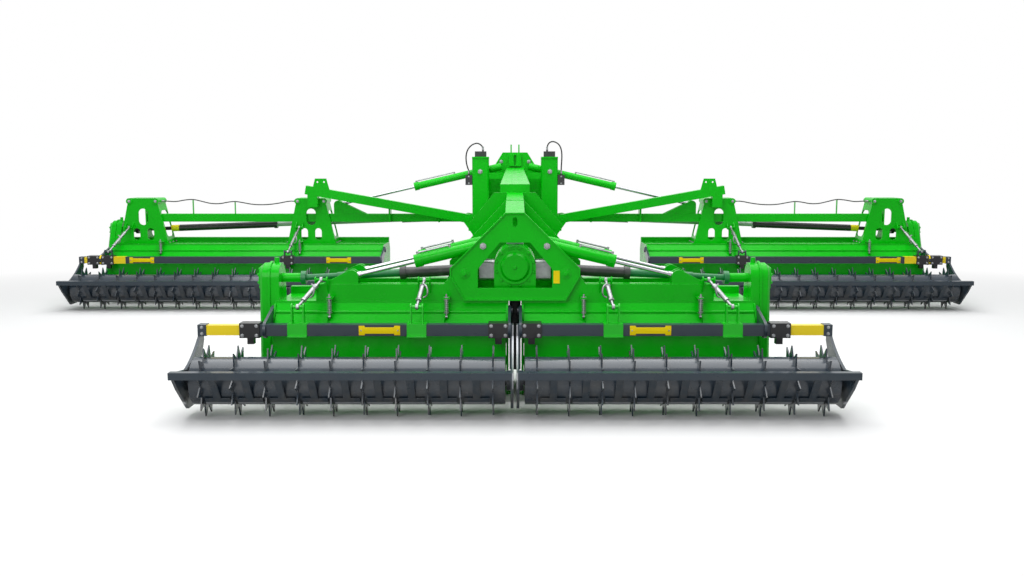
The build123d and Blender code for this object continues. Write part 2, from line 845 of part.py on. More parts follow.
# Turnbuckles from the crossbar's lugs to the upper lugs, and the rods of the tail-board springs
def make_adjusters(unit):
    with BuildPart() as adjusters:
        for low_x, high_x in unit.adjusters:
            low = (low_x, unit.y + BAR_Y, unit.low_pin)
            high = (high_x, unit.y + unit.high_pin[0], unit.high_pin[1])
            length = (Vector(*high) - Vector(*low)).length
            with BuildSketch(along(low, high)):
                Circle(TURN_ROD_R)
            extrude(amount=length)
            with BuildSketch(along(low, high).offset(length / 4)):
                Circle(TURN_TUBE_R)
            extrude(amount=length / 2)
            for x, pin_y, pin_z in (low, high):
                with BuildSketch(side_view(x - TURN_EYE_W / 2)):
                    with Locations((pin_y, pin_z)):
                        Circle(TURN_EYE_R)
                extrude(amount=TURN_EYE_W)
                with BuildSketch(side_view(x - LUG_SPREAD / 2)):
                    with Locations((pin_y, pin_z)):
                        Circle(LUG_PIN_R + PIN_FIT)
                extrude(amount=LUG_SPREAD, mode=Mode.SUBTRACT)
        nut_z = SPRING_PLATE_Z + SPRING_PLATE_T + PIN_FIT
        for x in unit.springs:
            place = (x, unit.y + SPRING_Y)
            with BuildSketch(side_view(x - SPRING_EYE_W / 2)):
                with Locations((unit.y + SPRING_Y, SPRING_PIN_Z)):
                    Circle(SPRING_EYE_R)
            extrude(amount=SPRING_EYE_W)
            with BuildSketch(Plane.XY.offset(SPRING_PIN_Z)):
                with Locations(place):
                    Circle(SPRING_ROD_R)
            extrude(amount=SPRING_TOP - SPRING_PIN_Z)
            for z in (SPRING_PIN_Z + 2 * SPRING_EYE_R, SPRING_PLATE_Z - PIN_FIT - SPRING_SEAT_T, nut_z):
                with BuildSketch(Plane.XY.offset(z)):
                    with Locations(place):
                        Circle(SPRING_SEAT_R)
                extrude(amount=SPRING_SEAT_T)
            with BuildSketch(side_view(x - SPRING_EYE_W)):
                with Locations((unit.y + SPRING_Y, SPRING_PIN_Z)):
                    Circle(SPRING_PIN_R + PIN_FIT)
            extrude(amount=2 * SPRING_EYE_W, mode=Mode.SUBTRACT)
    return adjusters.part


# Drive shaft: joint on the fold axis, tube, guard sections given as (from, to, radius), collar at the case
def make_drive_shaft(joint, case_end, sections):
    length = (Vector(*case_end) - Vector(*joint)).length
    line = along(joint, case_end)
    with BuildPart() as shaft:
        with BuildSketch(rear_view(joint[1] + JOINT_W / 2)):
            with Locations((joint[0], joint[2])):
                Circle(JOINT_R)
        extrude(amount=JOINT_W)
        with BuildSketch(line):
            Circle(TUBE_SHAFT_R)
        extrude(amount=length - COLLAR)
        for begin, finish, radius in sections:
            with BuildSketch(line.offset(begin)):
                Circle(radius)
            extrude(amount=finish - begin)
        with BuildSketch(side_view(case_end[0] - JOINT_W / 2)):
            with Locations((case_end[1], case_end[2])):
                Circle(BELL_R)
        extrude(amount=JOINT_W / 2)
    return shaft.part


# Cylinder barrels on one axis: blind bore, mouth collar, end eye or trunnion stubs
def make_barrel(anchor, eye, radius, rod_r, tail, mouth, rows, trunnion):
    with BuildPart() as barrel:
        for row in rows:
            start = (anchor[0], row, anchor[1])
            line = along(start, (eye[0], row, eye[1]))
            if trunnion:
                with BuildSketch(rear_view(row + radius + TRUNNION_L)):
                    with Locations(anchor):
                        Circle(TRUNNION_R)
                extrude(amount=2 * radius + 2 * TRUNNION_L)
            else:
                with BuildSketch(rear_view(row + EYE_W / 2)):
                    with Locations(anchor):
                        Circle(EYE_R)
                extrude(amount=EYE_W)
            with BuildSketch(line.offset(-tail)):
                Circle(radius)
            extrude(amount=mouth + tail)
            with BuildSketch(line.offset(mouth - COLLAR_L)):
                Circle(radius + COLLAR)
            extrude(amount=COLLAR_L)
            if not trunnion:
                with BuildSketch(rear_view(row + EYE_W)):
                    with Locations(anchor):
                        Circle(RC_PIN_R + PIN_FIT)
                extrude(amount=2 * EYE_W, mode=Mode.SUBTRACT)
            with BuildSketch(line.offset(-tail + 2 * EYE_R)):
                Circle(rod_r + PIN_FIT)
            extrude(amount=mouth + tail, mode=Mode.SUBTRACT)
    return barrel.part


# Cylinder rods ending in an eye that lies between the clevis ears
def make_rod(anchor, eye, rod_r, inside, rows):
    with BuildPart() as rod:
        for row in rows:
            start = (anchor[0], row, anchor[1])
            end = (eye[0], row, eye[1])
            length = (Vector(*end) - Vector(*start)).length
            line = along(start, end)
            with BuildSketch(line.offset(inside)):
                Circle(rod_r)
            extrude(amount=length - inside)
            with BuildSketch(line.offset(length - EYE_R - 2 * rod_r)):
                Circle(EYE_W / 2 - SIDE_FIT)
            extrude(amount=EYE_R)
            with BuildSketch(rear_view(row + EYE_W / 2)):
                with Locations(eye):
                    Circle(EYE_R)
            extrude(amount=EYE_W)
    return rod.part


# Hose along a route of straight runs joined by tangent arcs
def make_hose(route, radius):
    runs = [Vector(*b) - Vector(*a) for a, b in zip(route, route[1:])]
    bends = []
    for before, after in zip(runs, runs[1:]):
        half_turn = radians(before.get_angle(after)) / 2
        bends.append(HOSE_BEND * min(before.length, after.length) / tan(half_turn))
    with BuildPart() as hose:
        with BuildLine():
            FilletPolyline(*route, radius=bends)
        with BuildSketch(along(route[0], route[1])):
            Circle(radius)
        sweep()
    return hose.part


# Carrier of a rear unit: two box beams on the hood with hinge ears, cylinder clevises and adjuster lugs
beam_h = BEAM_TOP - HOOD_TOP
with BuildPart() as carrier:
    for row in (REAR_BEAM_Y, FRONT_BEAM_Y):
        mid = REAR_Y + row
        with Locations(((BEAM_IN + BEAM_OUT) / 2, mid, (HOOD_TOP + BEAM_TOP) / 2)):
            Box(BEAM_OUT - BEAM_IN, BEAM_W, beam_h)
        for edge in (mid - BEAM_W / 2 + EAR_T, mid + BEAM_W / 2):
            with BuildSketch(rear_view(edge)):
                with Locations((REAR_HINGE_X, REAR_HINGE_Z)):
                    Circle(EAR_R)
                with Locations((BEAM_IN + EAR_FOOT / 2, HOOD_TOP + beam_h / 3)):
                    Rectangle(EAR_FOOT, beam_h / 2)
                make_hull()
            extrude(amount=EAR_T)
        for edge in (mid - EYE_GAP / 2, mid + EYE_GAP / 2 + CLEVIS_T):
            with BuildSketch(rear_view(edge)):
                with Locations((RC_EYE_X, RC_EYE_Z)):
                    Circle(CLEVIS_R)
                with Locations(((RC_EYE_X + BEAM_OUT) / 2 - CLEVIS_R, BEAM_TOP - CLEVIS_T / 2)):
                    Rectangle(BEAM_OUT - RC_EYE_X, CLEVIS_T)
                make_hull()
            extrude(amount=CLEVIS_T)
        with BuildSketch(rear_view(mid + BEAM_W)):
            with Locations((REAR_HINGE_X, REAR_HINGE_Z)):
                Circle(HINGE_R + PIN_FIT)
        extrude(amount=2 * BEAM_W, mode=Mode.SUBTRACT)
    face = REAR_Y + REAR_BEAM_Y - BEAM_W / 2
    for _, x in REAR.adjusters:
        pin = (REAR_Y + REAR.high_pin[0], REAR.high_pin[1])
        add(make_ears(x, pin, (face + LUG_T / 2, BEAM_TOP - LUG_FOOT / 2), (LUG_T, LUG_FOOT)))
    for x in (BEAM_IN + 2 * EAR_FOOT, BEAM_OUT - BRACE_W):
        with Locations((x, REAR_Y + (REAR_BEAM_Y + FRONT_BEAM_Y) / 2, HOOD_TOP + BRACE_W / 2)):
            Box(BRACE_W, FRONT_BEAM_Y - REAR_BEAM_Y - BEAM_W, BRACE_W)
save_pair(carrier.part, "rear_carrier")

# Rear tiller units
save_pair(make_hood(REAR), "rear_hood")
save_pair(make_case(REAR), "rear_drive_case")
save_pair(make_tail_board(REAR), "rear_tail_board")
save_pair(make_roller_frame(REAR), "rear_roller_frame")
save_pair(make_roller(REAR), "rear_roller")
save_pair(make_rotor(REAR), "rear_rotor")
save_pair(make_adjusters(REAR), "rear_adjusters")
rear_joint = (REAR_HINGE_X, REAR_Y + REAR_SHAFT_Y, REAR_HINGE_Z)
rear_case_end = (REAR_HOOD_OUT - INPUT_L, REAR_Y + REAR_SHAFT_Y, CASE_IN_Z)
save_pair(make_drive_shaft(rear_joint, rear_case_end, REAR_GUARDS), "rear_drive_shaft")
rear_rows = (REAR_Y + REAR_BEAM_Y, REAR_Y + FRONT_BEAM_Y)
rear_anchor = (RC_X, RC_Z)
rear_eye = (RC_EYE_X, RC_EYE_Z)
save_pair(
    make_barrel(rear_anchor, rear_eye, RC_R, RC_ROD_R, 0, RC_MOUTH, rear_rows, False),
    "rear_cylinder_barrels",
)
save_pair(make_rod(rear_anchor, rear_eye, RC_ROD_R, RC_INSIDE, rear_rows), "rear_cylinder_rods")

# Wing frame: hinged beam and diagonal arm joined by webs, cylinder clevis, arm-end plate, hose clips
arm_slope = atan2(ARM_END_Z - WING_HINGE_Z, ARM_END_X - WING_HINGE_X)
arm_length = (ARM_END_X - WING_HINGE_X) / cos(arm_slope)
beam_low, beam_high = WING_HINGE_Z - WBEAM_W / 2, WING_HINGE_Z + WBEAM_W / 2
with BuildPart() as wing_frame:
    with BuildSketch(rear_view(FRONT_Y + ARM_Y + ARM_W / 2)):
        with Locations((WING_HINGE_X, WING_HINGE_Z)):
            Circle(ARM_W / 2)
        with Locations((WING_HINGE_X, WING_HINGE_Z)):
            with Locations(Location((0, 0), degrees(arm_slope))):
                with Locations((arm_length / 2, 0)):
                    Rectangle(arm_length, ARM_W)
    extrude(amount=ARM_W)
    with BuildSketch(rear_view(FRONT_Y + WBEAM_Y + WBEAM_W / 2)):
        with Locations((WING_HINGE_X, WING_HINGE_Z)):
            Circle(ARM_W / 2)
        with Locations(((WING_HINGE_X + WBEAM_END) / 2, WING_HINGE_Z)):
            Rectangle(WBEAM_END - WING_HINGE_X, WBEAM_W)
    extrude(amount=WBEAM_W)
    block_mid = ARM_Y - ARM_W / 2 + (STAND_Y0 - ARM_Y + ARM_W / 2) / 2
    block_low = ARM_END_Z - 2 * ARM_W
    with Locations((ARM_BLOCK_X, FRONT_Y + block_mid, (block_low + ARM_END_Z) / 2)):
        Box(ARM_BLOCK_W, STAND_Y0 - ARM_Y + ARM_W / 2, ARM_END_Z - block_low)
    for x in WEBS:
        arm_z = WING_HINGE_Z + (x - WING_HINGE_X) * tan(arm_slope)
        with Locations((x, FRONT_Y + (ARM_Y + WBEAM_Y) / 2, (beam_low + arm_z) / 2)):
            Box(WEB_T, WBEAM_Y - ARM_Y, arm_z - beam_low)
    for edge in (WBEAM_Y - EYE_GAP / 2, WBEAM_Y + EYE_GAP / 2 + CLEVIS_T):
        with BuildSketch(rear_view(FRONT_Y + edge)):
            with Locations((WC_EYE_X, WC_EYE_Z)):
                Circle(CLEVIS_R)
            with Locations((WC_EYE_X - 3 * CLEVIS_R, beam_high - CLEVIS_T / 2)):
                Rectangle(8 * CLEVIS_R, CLEVIS_T)
            make_hull()
        extrude(amount=CLEVIS_T)
    with BuildSketch(rear_view(FRONT_Y + ARM_Y - ARM_W / 2 + LUG_T)):
        Polygon(
            (ARM_BLOCK_X - FIN_L, ARM_END_Z),
            (ARM_BLOCK_X - FIN_L + FIN_CUT, ARM_END_Z + FIN_H),
            (ARM_BLOCK_X - FIN_CUT, ARM_END_Z + FIN_H),
            (ARM_BLOCK_X, ARM_END_Z),
            align=None,
        )
        with Locations(*[(ARM_BLOCK_X - x, ARM_END_Z + FIN_HOLE_Z) for x in FIN_HOLES]):
            Circle(LUG_PIN_R, mode=Mode.SUBTRACT)
    extrude(amount=LUG_T)
    for x, z in CLIPS:
        clip_top = z - WING_HOSE_R - PIN_FIT
        with Locations((x, FRONT_Y + CLIP_Y, (beam_high + clip_top) / 2)):
            Box(CLIP_T, CLIP_W, clip_top - beam_high)
    with BuildSketch(rear_view(FRONT_Y + WBEAM_Y + WBEAM_W)):
        with Locations((WING_HINGE_X, WING_HINGE_Z)):
            Circle(HINGE_R + PIN_FIT)
    extrude(amount=4 * WBEAM_W, mode=Mode.SUBTRACT)
save_pair(wing_frame.part, "wing_frame")

# Stands that carry the wing frame on the hood: tapered boxes open to the front, slotted rear plates
stand_foot = HOOD_TOP + STAND_FOOT_T
stand_depth = STAND_Y1 - STAND_Y0
with BuildPart() as stands:
    for x in (INNER_STAND_X, OUTER_STAND_X):
        with BuildSketch(rear_view(FRONT_Y + STAND_Y1)):
            Polygon(
                (x - STAND_BASE / 2, stand_foot),
                (x + STAND_BASE / 2, stand_foot),
                (x + STAND_HEAD / 2, STAND_TOP),
                (x - STAND_HEAD / 2, STAND_TOP),
                align=None,
            )
        extrude(amount=stand_depth)
        with BuildSketch(rear_view(FRONT_Y + STAND_Y1)):
            Polygon(
                (x - STAND_BASE / 2 + STAND_WALL, stand_foot),
                (x + STAND_BASE / 2 - STAND_WALL, stand_foot),
                (x + STAND_HEAD / 2 - STAND_WALL, STAND_TOP - STAND_WALL),
                (x - STAND_HEAD / 2 + STAND_WALL, STAND_TOP - STAND_WALL),
                align=None,
            )
        extrude(amount=stand_depth - STAND_REAR_T, mode=Mode.SUBTRACT)
        with BuildSketch(side_view(x - STAND_BASE / 2)):
            with Locations((FRONT_Y + STAND_OPENING_Y, STAND_OPENING_Z)):
                RectangleRounded(*STAND_OPENING, radius=SIDE_CORNER)
        extrude(amount=STAND_BASE, mode=Mode.SUBTRACT)
        with BuildSketch(rear_view(FRONT_Y + STAND_Y0 + STAND_REAR_T)):
            with Locations((x, STAND_SLOT_Z)):
                SlotOverall(*STAND_SLOT, rotation=90)
            with Locations((x - STAND_ARCH_X, STAND_ARCH_Z), (x + STAND_ARCH_X, STAND_ARCH_Z)):
                SlotOverall(*STAND_ARCH, rotation=90)
        extrude(amount=STAND_REAR_T, mode=Mode.SUBTRACT)
        with Locations((x, FRONT_Y + (STAND_Y0 + STAND_Y1) / 2, HOOD_TOP + STAND_FOOT_T / 2)):
            Box(STAND_BASE + 2 * STAND_FOOT_LAP, stand_depth, STAND_FOOT_T)
        knob_x = STAND_HEAD / 2 - STAND_WALL / 2
        with BuildSketch(rear_view(FRONT_Y + STAND_Y1)):
            with Locations((x - knob_x, STAND_TOP - STAND_KNOB_R), (x + knob_x, STAND_TOP - STAND_KNOB_R)):
                Circle(STAND_KNOB_R)
        extrude(amount=stand_depth + STAND_FOOT_T)
    for x, way in ((INNER_STAND_X + knob_x, 1), (OUTER_STAND_X - knob_x, -1)):
        with BuildSketch(side_view(x)):
            with Locations((FRONT_Y + CLIP_Y, STAND_TOP - STAND_KNOB_R)):
                Circle(NIPPLE_R)
        extrude(amount=way * (STAND_KNOB_R + NIPPLE_H))
    seat_low = stand_foot
    with Locations(
        (WBEAM_END + STAND_WALL / 2, FRONT_Y + (STAND_Y0 + STAND_Y1) / 2, (seat_low + STAND_TOP) / 2)
    ):
        Box(STAND_WALL, stand_depth, STAND_TOP - seat_low)
    with BuildSketch(side_view(WBEAM_END)):
        with Locations((FRONT_Y + WING_SHAFT_Y, CASE_IN_Z)):
            Circle(2 * GUARD_R)
    extrude(amount=STAND_WALL, mode=Mode.SUBTRACT)
    for _, x in WING.adjusters:
        pin = (FRONT_Y + WING.high_pin[0], WING.high_pin[1])
        foot = (FRONT_Y + STAND_Y0 + LUG_T / 2, WING.high_pin[1] + LUG_FOOT / 2)
        add(make_ears(x, pin, foot, (LUG_T, LUG_FOOT)))
save_pair(stands.part, "wing_stands")

# Wing tiller units
save_pair(make_hood(WING), "wing_hood")
save_pair(make_case(WING), "wing_drive_case")
save_pair(make_tail_board(WING), "wing_tail_board")
save_pair(make_roller_frame(WING), "wing_roller_frame")
save_pair(make_roller(WING), "wing_roller")
save_pair(make_rotor(WING), "wing_rotor")
save_pair(make_adjusters(WING), "wing_adjusters")
wing_joint = (WING_HINGE_X, FRONT_Y + WING_SHAFT_Y, WING_HINGE_Z)
wing_case_end = (WING_HOOD_OUT - INPUT_L, FRONT_Y + WING_SHAFT_Y, CASE_IN_Z)
save_pair(make_drive_shaft(wing_joint, wing_case_end, WING_GUARDS), "wing_drive_shaft")
wing_rows = (FRONT_Y + WBEAM_Y,)
wing_anchor = (WC_X, WC_Z)
wing_eye = (WC_EYE_X, WC_EYE_Z)
save_pair(
    make_barrel(wing_anchor, wing_eye, WC_R, WC_ROD_R, WC_TAIL, WC_MOUTH, wing_rows, True),
    "wing_cylinder_barrel",
)
save_pair(make_rod(wing_anchor, wing_eye, WC_ROD_R, WC_INSIDE, wing_rows), "wing_cylinder_rod")


# Outline of one plate of the rear A-frame, the shoulders set out by spread, and its window
def a_outline(spread, top):
    width = A_SHOULDER[0] + spread
    half = (
        (A_FOOT, A_LOW),
        (width, A_SHOULDER[1]),
        (width, A_SHOULDER[1] + A_SHOULDER_RISE),
        (A_APEX, top),
    )
    Polygon(*half, *[(-x, z) for x, z in reversed(half)], align=None)


def a_window():
    left = [(-x, z) for x, z in reversed(A_WINDOW)]
    Polygon(*A_WINDOW, *left, align=None, mode=Mode.SUBTRACT)


# Rear A-frame: two plates, hinge pins, cylinder pins, ridge box and gearbox floor
a_mid = REAR_Y + (A_REAR_Y + A_FRONT_Y + A_PLATE) / 2
a_span = A_FRONT_Y - A_REAR_Y
with BuildPart() as a_frame:
    with BuildSketch(rear_view(REAR_Y + A_REAR_Y + A_PLATE)):
        a_outline(0, A_REAR_TOP)
        a_window()
        with Locations((0, A_REAR_TOP - A_APEX)):
            SlotOverall(A_APEX, A_APEX / 2, rotation=90, mode=Mode.SUBTRACT)
    extrude(amount=A_PLATE)
    with BuildSketch(rear_view(REAR_Y + A_FRONT_Y + A_PLATE)):
        a_outline(A_FRONT_SPREAD, A_FRONT_TOP)
        a_window()
    extrude(amount=A_PLATE)
    with BuildSketch(rear_view(REAR_Y + A_REAR_Y)) as rim:
        a_outline(0, A_REAR_TOP)
        offset(rim.sketch_local, amount=-A_RIM, kind=Kind.INTERSECTION, mode=Mode.SUBTRACT)
    extrude(amount=A_RIM_D)
    with BuildSketch(side_view(-A_APEX)):
        Polygon(
            (REAR_Y + A_REAR_Y, A_REAR_TOP),
            (REAR_Y + A_FRONT_Y + A_PLATE, A_FRONT_TOP),
            (REAR_Y + A_FRONT_Y + A_PLATE, A_FRONT_TOP - 2 * A_APEX),
            (REAR_Y + A_REAR_Y + A_PLATE, A_REAR_TOP - A_RIM),
            align=None,
        )
    extrude(amount=2 * A_APEX)
    with Locations((0, a_mid, A_LOW + A_FLOOR_T / 2)):
        Box(A_FLOOR_W, a_span, A_FLOOR_T)
    for side in (-1, 1):
        hinge = (side * REAR_HINGE_X, REAR_HINGE_Z)
        rear_pin_end = REAR_BEAM_Y + BEAM_W / 2 + HINGE_HEAD
        front_pin_end = FRONT_BEAM_Y - BEAM_W / 2 - HINGE_HEAD
        with BuildSketch(rear_view(REAR_Y + rear_pin_end)):
            with Locations(hinge):
                Circle(HINGE_R)
        extrude(amount=rear_pin_end - A_REAR_Y + HINGE_HEAD)
        with BuildSketch(rear_view(REAR_Y + A_FRONT_Y + A_PLATE + HINGE_HEAD)):
            with Locations(hinge):
                Circle(HINGE_R)
        extrude(amount=A_FRONT_Y + A_PLATE + HINGE_HEAD - front_pin_end)
        with BuildSketch(rear_view(REAR_Y + A_REAR_Y)):
            with Locations(hinge):
                Circle(HINGE_R + A_RIM)
        extrude(amount=HINGE_HEAD / 2)
        with BuildSketch(rear_view(REAR_Y + A_FRONT_Y + A_PLATE + HINGE_HEAD)):
            with Locations((side * RC_X, RC_Z)):
                Circle(RC_PIN_R)
        extrude(amount=a_span + A_PLATE + 2 * HINGE_HEAD)
save(a_frame.part, "rear_a_frame")

# Rear gearbox on the A-frame floor: rounded casing, round bolted cover, dome, side outputs
floor_top = A_LOW + A_FLOOR_T
gearbox_rear = REAR_Y + REAR_SHAFT_Y - GEARBOX_L / 2
stub_reach = REAR_HINGE_X - JOINT_R - JOINT_GAP
with BuildPart() as rear_gearbox:
    with BuildSketch(rear_view(gearbox_rear + GEARBOX_L)):
        with Locations((0, GEARBOX_Z)):
            Circle(GEARBOX_R)
        with Locations((0, floor_top + COVER_T / 2)):
            Rectangle(2 * GEARBOX_R, COVER_T)
        make_hull()
    extrude(amount=GEARBOX_L)
    with BuildSketch(rear_view(gearbox_rear)):
        with Locations((0, GEARBOX_Z)):
            Circle(COVER_R)
    extrude(amount=COVER_T / 3)
    with BuildSketch(rear_view(gearbox_rear - COVER_T / 3)):
        with Locations((0, GEARBOX_Z)):
            Circle(COVER_R - COVER_T / 2)
    extrude(amount=2 * COVER_T / 3, taper=35)
    with BuildSketch(Plane.XY.offset(GEARBOX_Z)):
        with Locations((0, REAR_Y + REAR_SHAFT_Y)):
            Circle(COVER_R / 2)
    extrude(amount=GEARBOX_R + COVER_T)
    fillet(rear_gearbox.faces().sort_by(Axis.Z)[-1].edges(), radius=COVER_T / 2)
    with BuildSketch(side_view(-stub_reach)):
        with Locations((REAR_Y + REAR_SHAFT_Y, REAR_HINGE_Z)):
            Circle(TUBE_SHAFT_R)
    extrude(amount=2 * stub_reach)
save(rear_gearbox.part, "rear_gearbox")

# Bright sheet guards over the rear gearbox outputs
with BuildPart() as guards:
    with BuildSketch(side_view(-GUARD_IN - GUARD_L), side_view(GUARD_IN)):
        with Locations((REAR_Y + REAR_SHAFT_Y, REAR_HINGE_Z)):
            RectangleRounded(*GUARD_SIZE, radius=TUBE_SHAFT_R)
            RectangleRounded(
                GUARD_SIZE[0] - 2 * GUARD_T,
                GUARD_SIZE[1] - 2 * GUARD_T,
                radius=TUBE_SHAFT_R - GUARD_T,
                mode=Mode.SUBTRACT,
            )
    extrude(amount=GUARD_L)
save(guards.part, "shaft_guards")

# Spine: narrow rear box, bulkhead plate, tapered main box, neck at the mast, shaft hanger
spine_rear_y = REAR_Y + A_FRONT_Y + A_PLATE
bulkhead_y = REAR_Y + BULKHEAD_Y
neck_y = FRONT_Y + POST_Y0 - POST_CORNER
mast_y = FRONT_Y + MAST_Y
drive_rear = (0, gearbox_rear + GEARBOX_L, REAR_HINGE_Z)
drive_front = (0, FRONT_Y + WING_SHAFT_Y - FRONT_BOX_L / 2 - JOINT_R, WING_HINGE_Z)
drive_length = (Vector(*drive_front) - Vector(*drive_rear)).length
with BuildPart() as spine:
    with BuildSketch(side_view(-SPINE_REAR_W / 2)):
        Polygon(
            (spine_rear_y, SPINE_REAR_TOP - SPINE_H),
            (bulkhead_y, BULKHEAD_TOP - SPINE_H),
            (bulkhead_y, BULKHEAD_TOP),
            (spine_rear_y, SPINE_REAR_TOP),
            align=None,
        )
    extrude(amount=SPINE_REAR_W)
    with BuildSketch(rear_view(bulkhead_y + BULKHEAD_T)):
        with BuildLine():
            Polyline(
                (-BULKHEAD_HEAD, BULKHEAD_TOP),
                (-BULKHEAD_SPAN, BULKHEAD_TOP - BULKHEAD_KNEE),
                (-BULKHEAD_SPAN, BULKHEAD_TOP - BULKHEAD_FOOT),
                (-SPINE_W / 2, BULKHEAD_TOP - BULKHEAD_DEPTH),
                (SPINE_W / 2, BULKHEAD_TOP - BULKHEAD_DEPTH),
                (BULKHEAD_SPAN, BULKHEAD_TOP - BULKHEAD_FOOT),
                (BULKHEAD_SPAN, BULKHEAD_TOP - BULKHEAD_KNEE),
                (BULKHEAD_HEAD, BULKHEAD_TOP),
                close=True,
            )
        make_face()
    extrude(amount=BULKHEAD_T)
    with BuildSketch(rear_view(bulkhead_y + BULKHEAD_T)):
        with Locations((0, SPINE_MID_TOP - SPINE_H / 2)):
            Rectangle(SPINE_W, SPINE_H)
    with BuildSketch(rear_view(neck_y)):
        with Locations((0, NECK_TOP - NECK_H / 2)):
            Rectangle(NECK_W, NECK_H)
    loft()
    with BuildSketch(side_view(-NECK_W / 2)):
        Polygon(
            (neck_y, NECK_TOP - NECK_H),
            (mast_y, SPINE_FRONT_TOP - NECK_H),
            (mast_y, SPINE_FRONT_TOP),
            (neck_y, NECK_TOP),
            align=None,
        )
    extrude(amount=NECK_W)
    hanger_low = WING_HINGE_Z - 2 * SHAFT_R
    hanger_top = SPINE_MID_TOP - SPINE_H / 2
    with Locations((0, HANGER_Y, (hanger_low + hanger_top) / 2)):
        Box(HANGER_W, HANGER_T, hanger_top - hanger_low)
    with BuildSketch(along(drive_rear, drive_front)):
        Circle(SHAFT_R + PIN_FIT)
    extrude(amount=drive_length, mode=Mode.SUBTRACT)
save(spine.part, "spine")

# Front drive box between the posts, with the side outputs and the power take-off input
front_reach = WING_HINGE_X - JOINT_R - JOINT_GAP
front_box_y = drive_front[1] + FRONT_BOX_L / 2
with BuildPart() as front_gearbox:
    with Locations((0, front_box_y, FRONT_BOX_LOW + FRONT_BOX_H / 2)):
        Box(FRONT_BOX_W, FRONT_BOX_L, FRONT_BOX_H)
    chamfer(front_gearbox.edges().filter_by(Axis.Y), length=COVER_T)
    with BuildSketch(side_view(-front_reach)):
        with Locations((FRONT_Y + WING_SHAFT_Y, WING_HINGE_Z)):
            Circle(TUBE_SHAFT_R)
    extrude(amount=2 * front_reach)
    with BuildSketch(rear_view(mast_y + MAST_T + PTO_L)):
        with Locations((0, WING_HINGE_Z)):
            Circle(PTO_R)
    extrude(amount=mast_y + MAST_T + PTO_L - front_box_y)
save(front_gearbox.part, "front_gearbox")

# Drive line from the front box to the rear gearbox, with a joint bell at each end
drive_axis = along(drive_rear, drive_front)
with BuildPart() as driveline:
    with BuildSketch(drive_axis.offset(SIDE_FIT)):
        Circle(SHAFT_R)
    extrude(amount=drive_length - 2 * SIDE_FIT)
    for begin in (JOINT_R, drive_length - 5 * JOINT_R):
        with BuildSketch(drive_axis.offset(begin)):
            Circle(BELL_R)
        extrude(amount=2 * JOINT_R)
save(driveline.part, "main_driveline")

# Posts with the wing hinge lugs, cylinder trunnion brackets, base box, ties and gearbox floor
post_w, post_d = POST_OUT - POST_IN, POST_Y1 - POST_Y0
post_mid_y = FRONT_Y + (POST_Y0 + POST_Y1) / 2
shelf_d = MAST_Y - POST_Y1
shelf_mid = FRONT_Y + (POST_Y1 + MAST_Y) / 2
lug_rows = (
    ARM_Y - ARM_W / 2 - HINGE_HEAD,
    WBEAM_Y - WBEAM_W / 2 - HINGE_HEAD + SIDE_FIT,
    WBEAM_Y + WBEAM_W / 2 + HINGE_HEAD + CLEVIS_T,
)
bracket_rows = (WBEAM_Y - WC_R - JOINT_GAP, WBEAM_Y + WC_R + JOINT_GAP + CLEVIS_T)
bracket_z = WC_Z - BRACKET_DROP
with BuildPart() as posts:
    with Locations((0, post_mid_y, (BASE_LOW + BASE_TOP) / 2)):
        Box(2 * POST_OUT, post_d, BASE_TOP - BASE_LOW)
    with Locations((0, shelf_mid, FRONT_BOX_LOW - STAND_WALL / 2)):
        Box(2 * POST_OUT, shelf_d, STAND_WALL)
    for side in (-1, 1):
        mid = side * (POST_IN + POST_OUT) / 2
        with BuildSketch(Plane.XY.offset(BASE_TOP)):
            with Locations((mid, post_mid_y)):
                RectangleRounded(post_w, post_d, radius=POST_CORNER)
        extrude(amount=POST_TOP - BASE_TOP)
        with Locations((mid, post_mid_y, POST_TOP + POST_CAP_T / 2)):
            Box(post_w, post_d + POST_CAP_T, POST_CAP_T)
        with Locations((side * (POST_IN + NECK_W / 2) / 2, post_mid_y, TIE_Z)):
            Box(POST_IN - NECK_W / 2, TIE_W, TIE_H)
        with Locations((side * (POST_OUT - BRACE_W / 2), shelf_mid, BASE_LOW + BRACE_W)):
            Box(BRACE_W, shelf_d, 2 * BRACE_W)
        for row in lug_rows:
            with BuildSketch(rear_view(FRONT_Y + row)):
                with Locations((side * WING_HINGE_X, WING_HINGE_Z)):
                    Circle(EAR_R - HINGE_HEAD)
                with Locations((side * (POST_OUT - EAR_T), (BASE_LOW + WING_HINGE_Z) / 2 + EAR_T)):
                    Rectangle(2 * EAR_T, WING_HINGE_Z - BASE_LOW + EAR_T)
                make_hull()
            extrude(amount=CLEVIS_T)
        with BuildSketch(rear_view(FRONT_Y + lug_rows[2] + JOINT_GAP)):
            with Locations((side * WING_HINGE_X, WING_HINGE_Z)):
                Circle(HINGE_R)
        extrude(amount=lug_rows[2] - lug_rows[0] + CLEVIS_T + 2 * JOINT_GAP)
        for row in bracket_rows:
            with BuildSketch(rear_view(FRONT_Y + row)):
                with Locations((side * WC_X, WC_Z)):
                    Circle(CLEVIS_R + HINGE_HEAD)
                with Locations((side * (POST_OUT - HINGE_R), bracket_z)):
                    Rectangle(2 * HINGE_R, 2 * RC_R)
                make_hull()
            extrude(amount=CLEVIS_T)
        bracket_d = bracket_rows[1] - POST_Y1
        with Locations((side * (POST_OUT - HINGE_R), FRONT_Y + POST_Y1 + bracket_d / 2, bracket_z)):
            Box(2 * HINGE_R, bracket_d, 2 * RC_R)
        with BuildSketch(rear_view(FRONT_Y + bracket_rows[1] + JOINT_GAP)):
            with Locations((side * WC_X, WC_Z)):
                Circle(TRUNNION_R + PIN_FIT)
        extrude(amount=2 * WC_R + 2 * CLEVIS_T + 4 * JOINT_GAP, mode=Mode.SUBTRACT)
save(posts.part, "wing_posts")

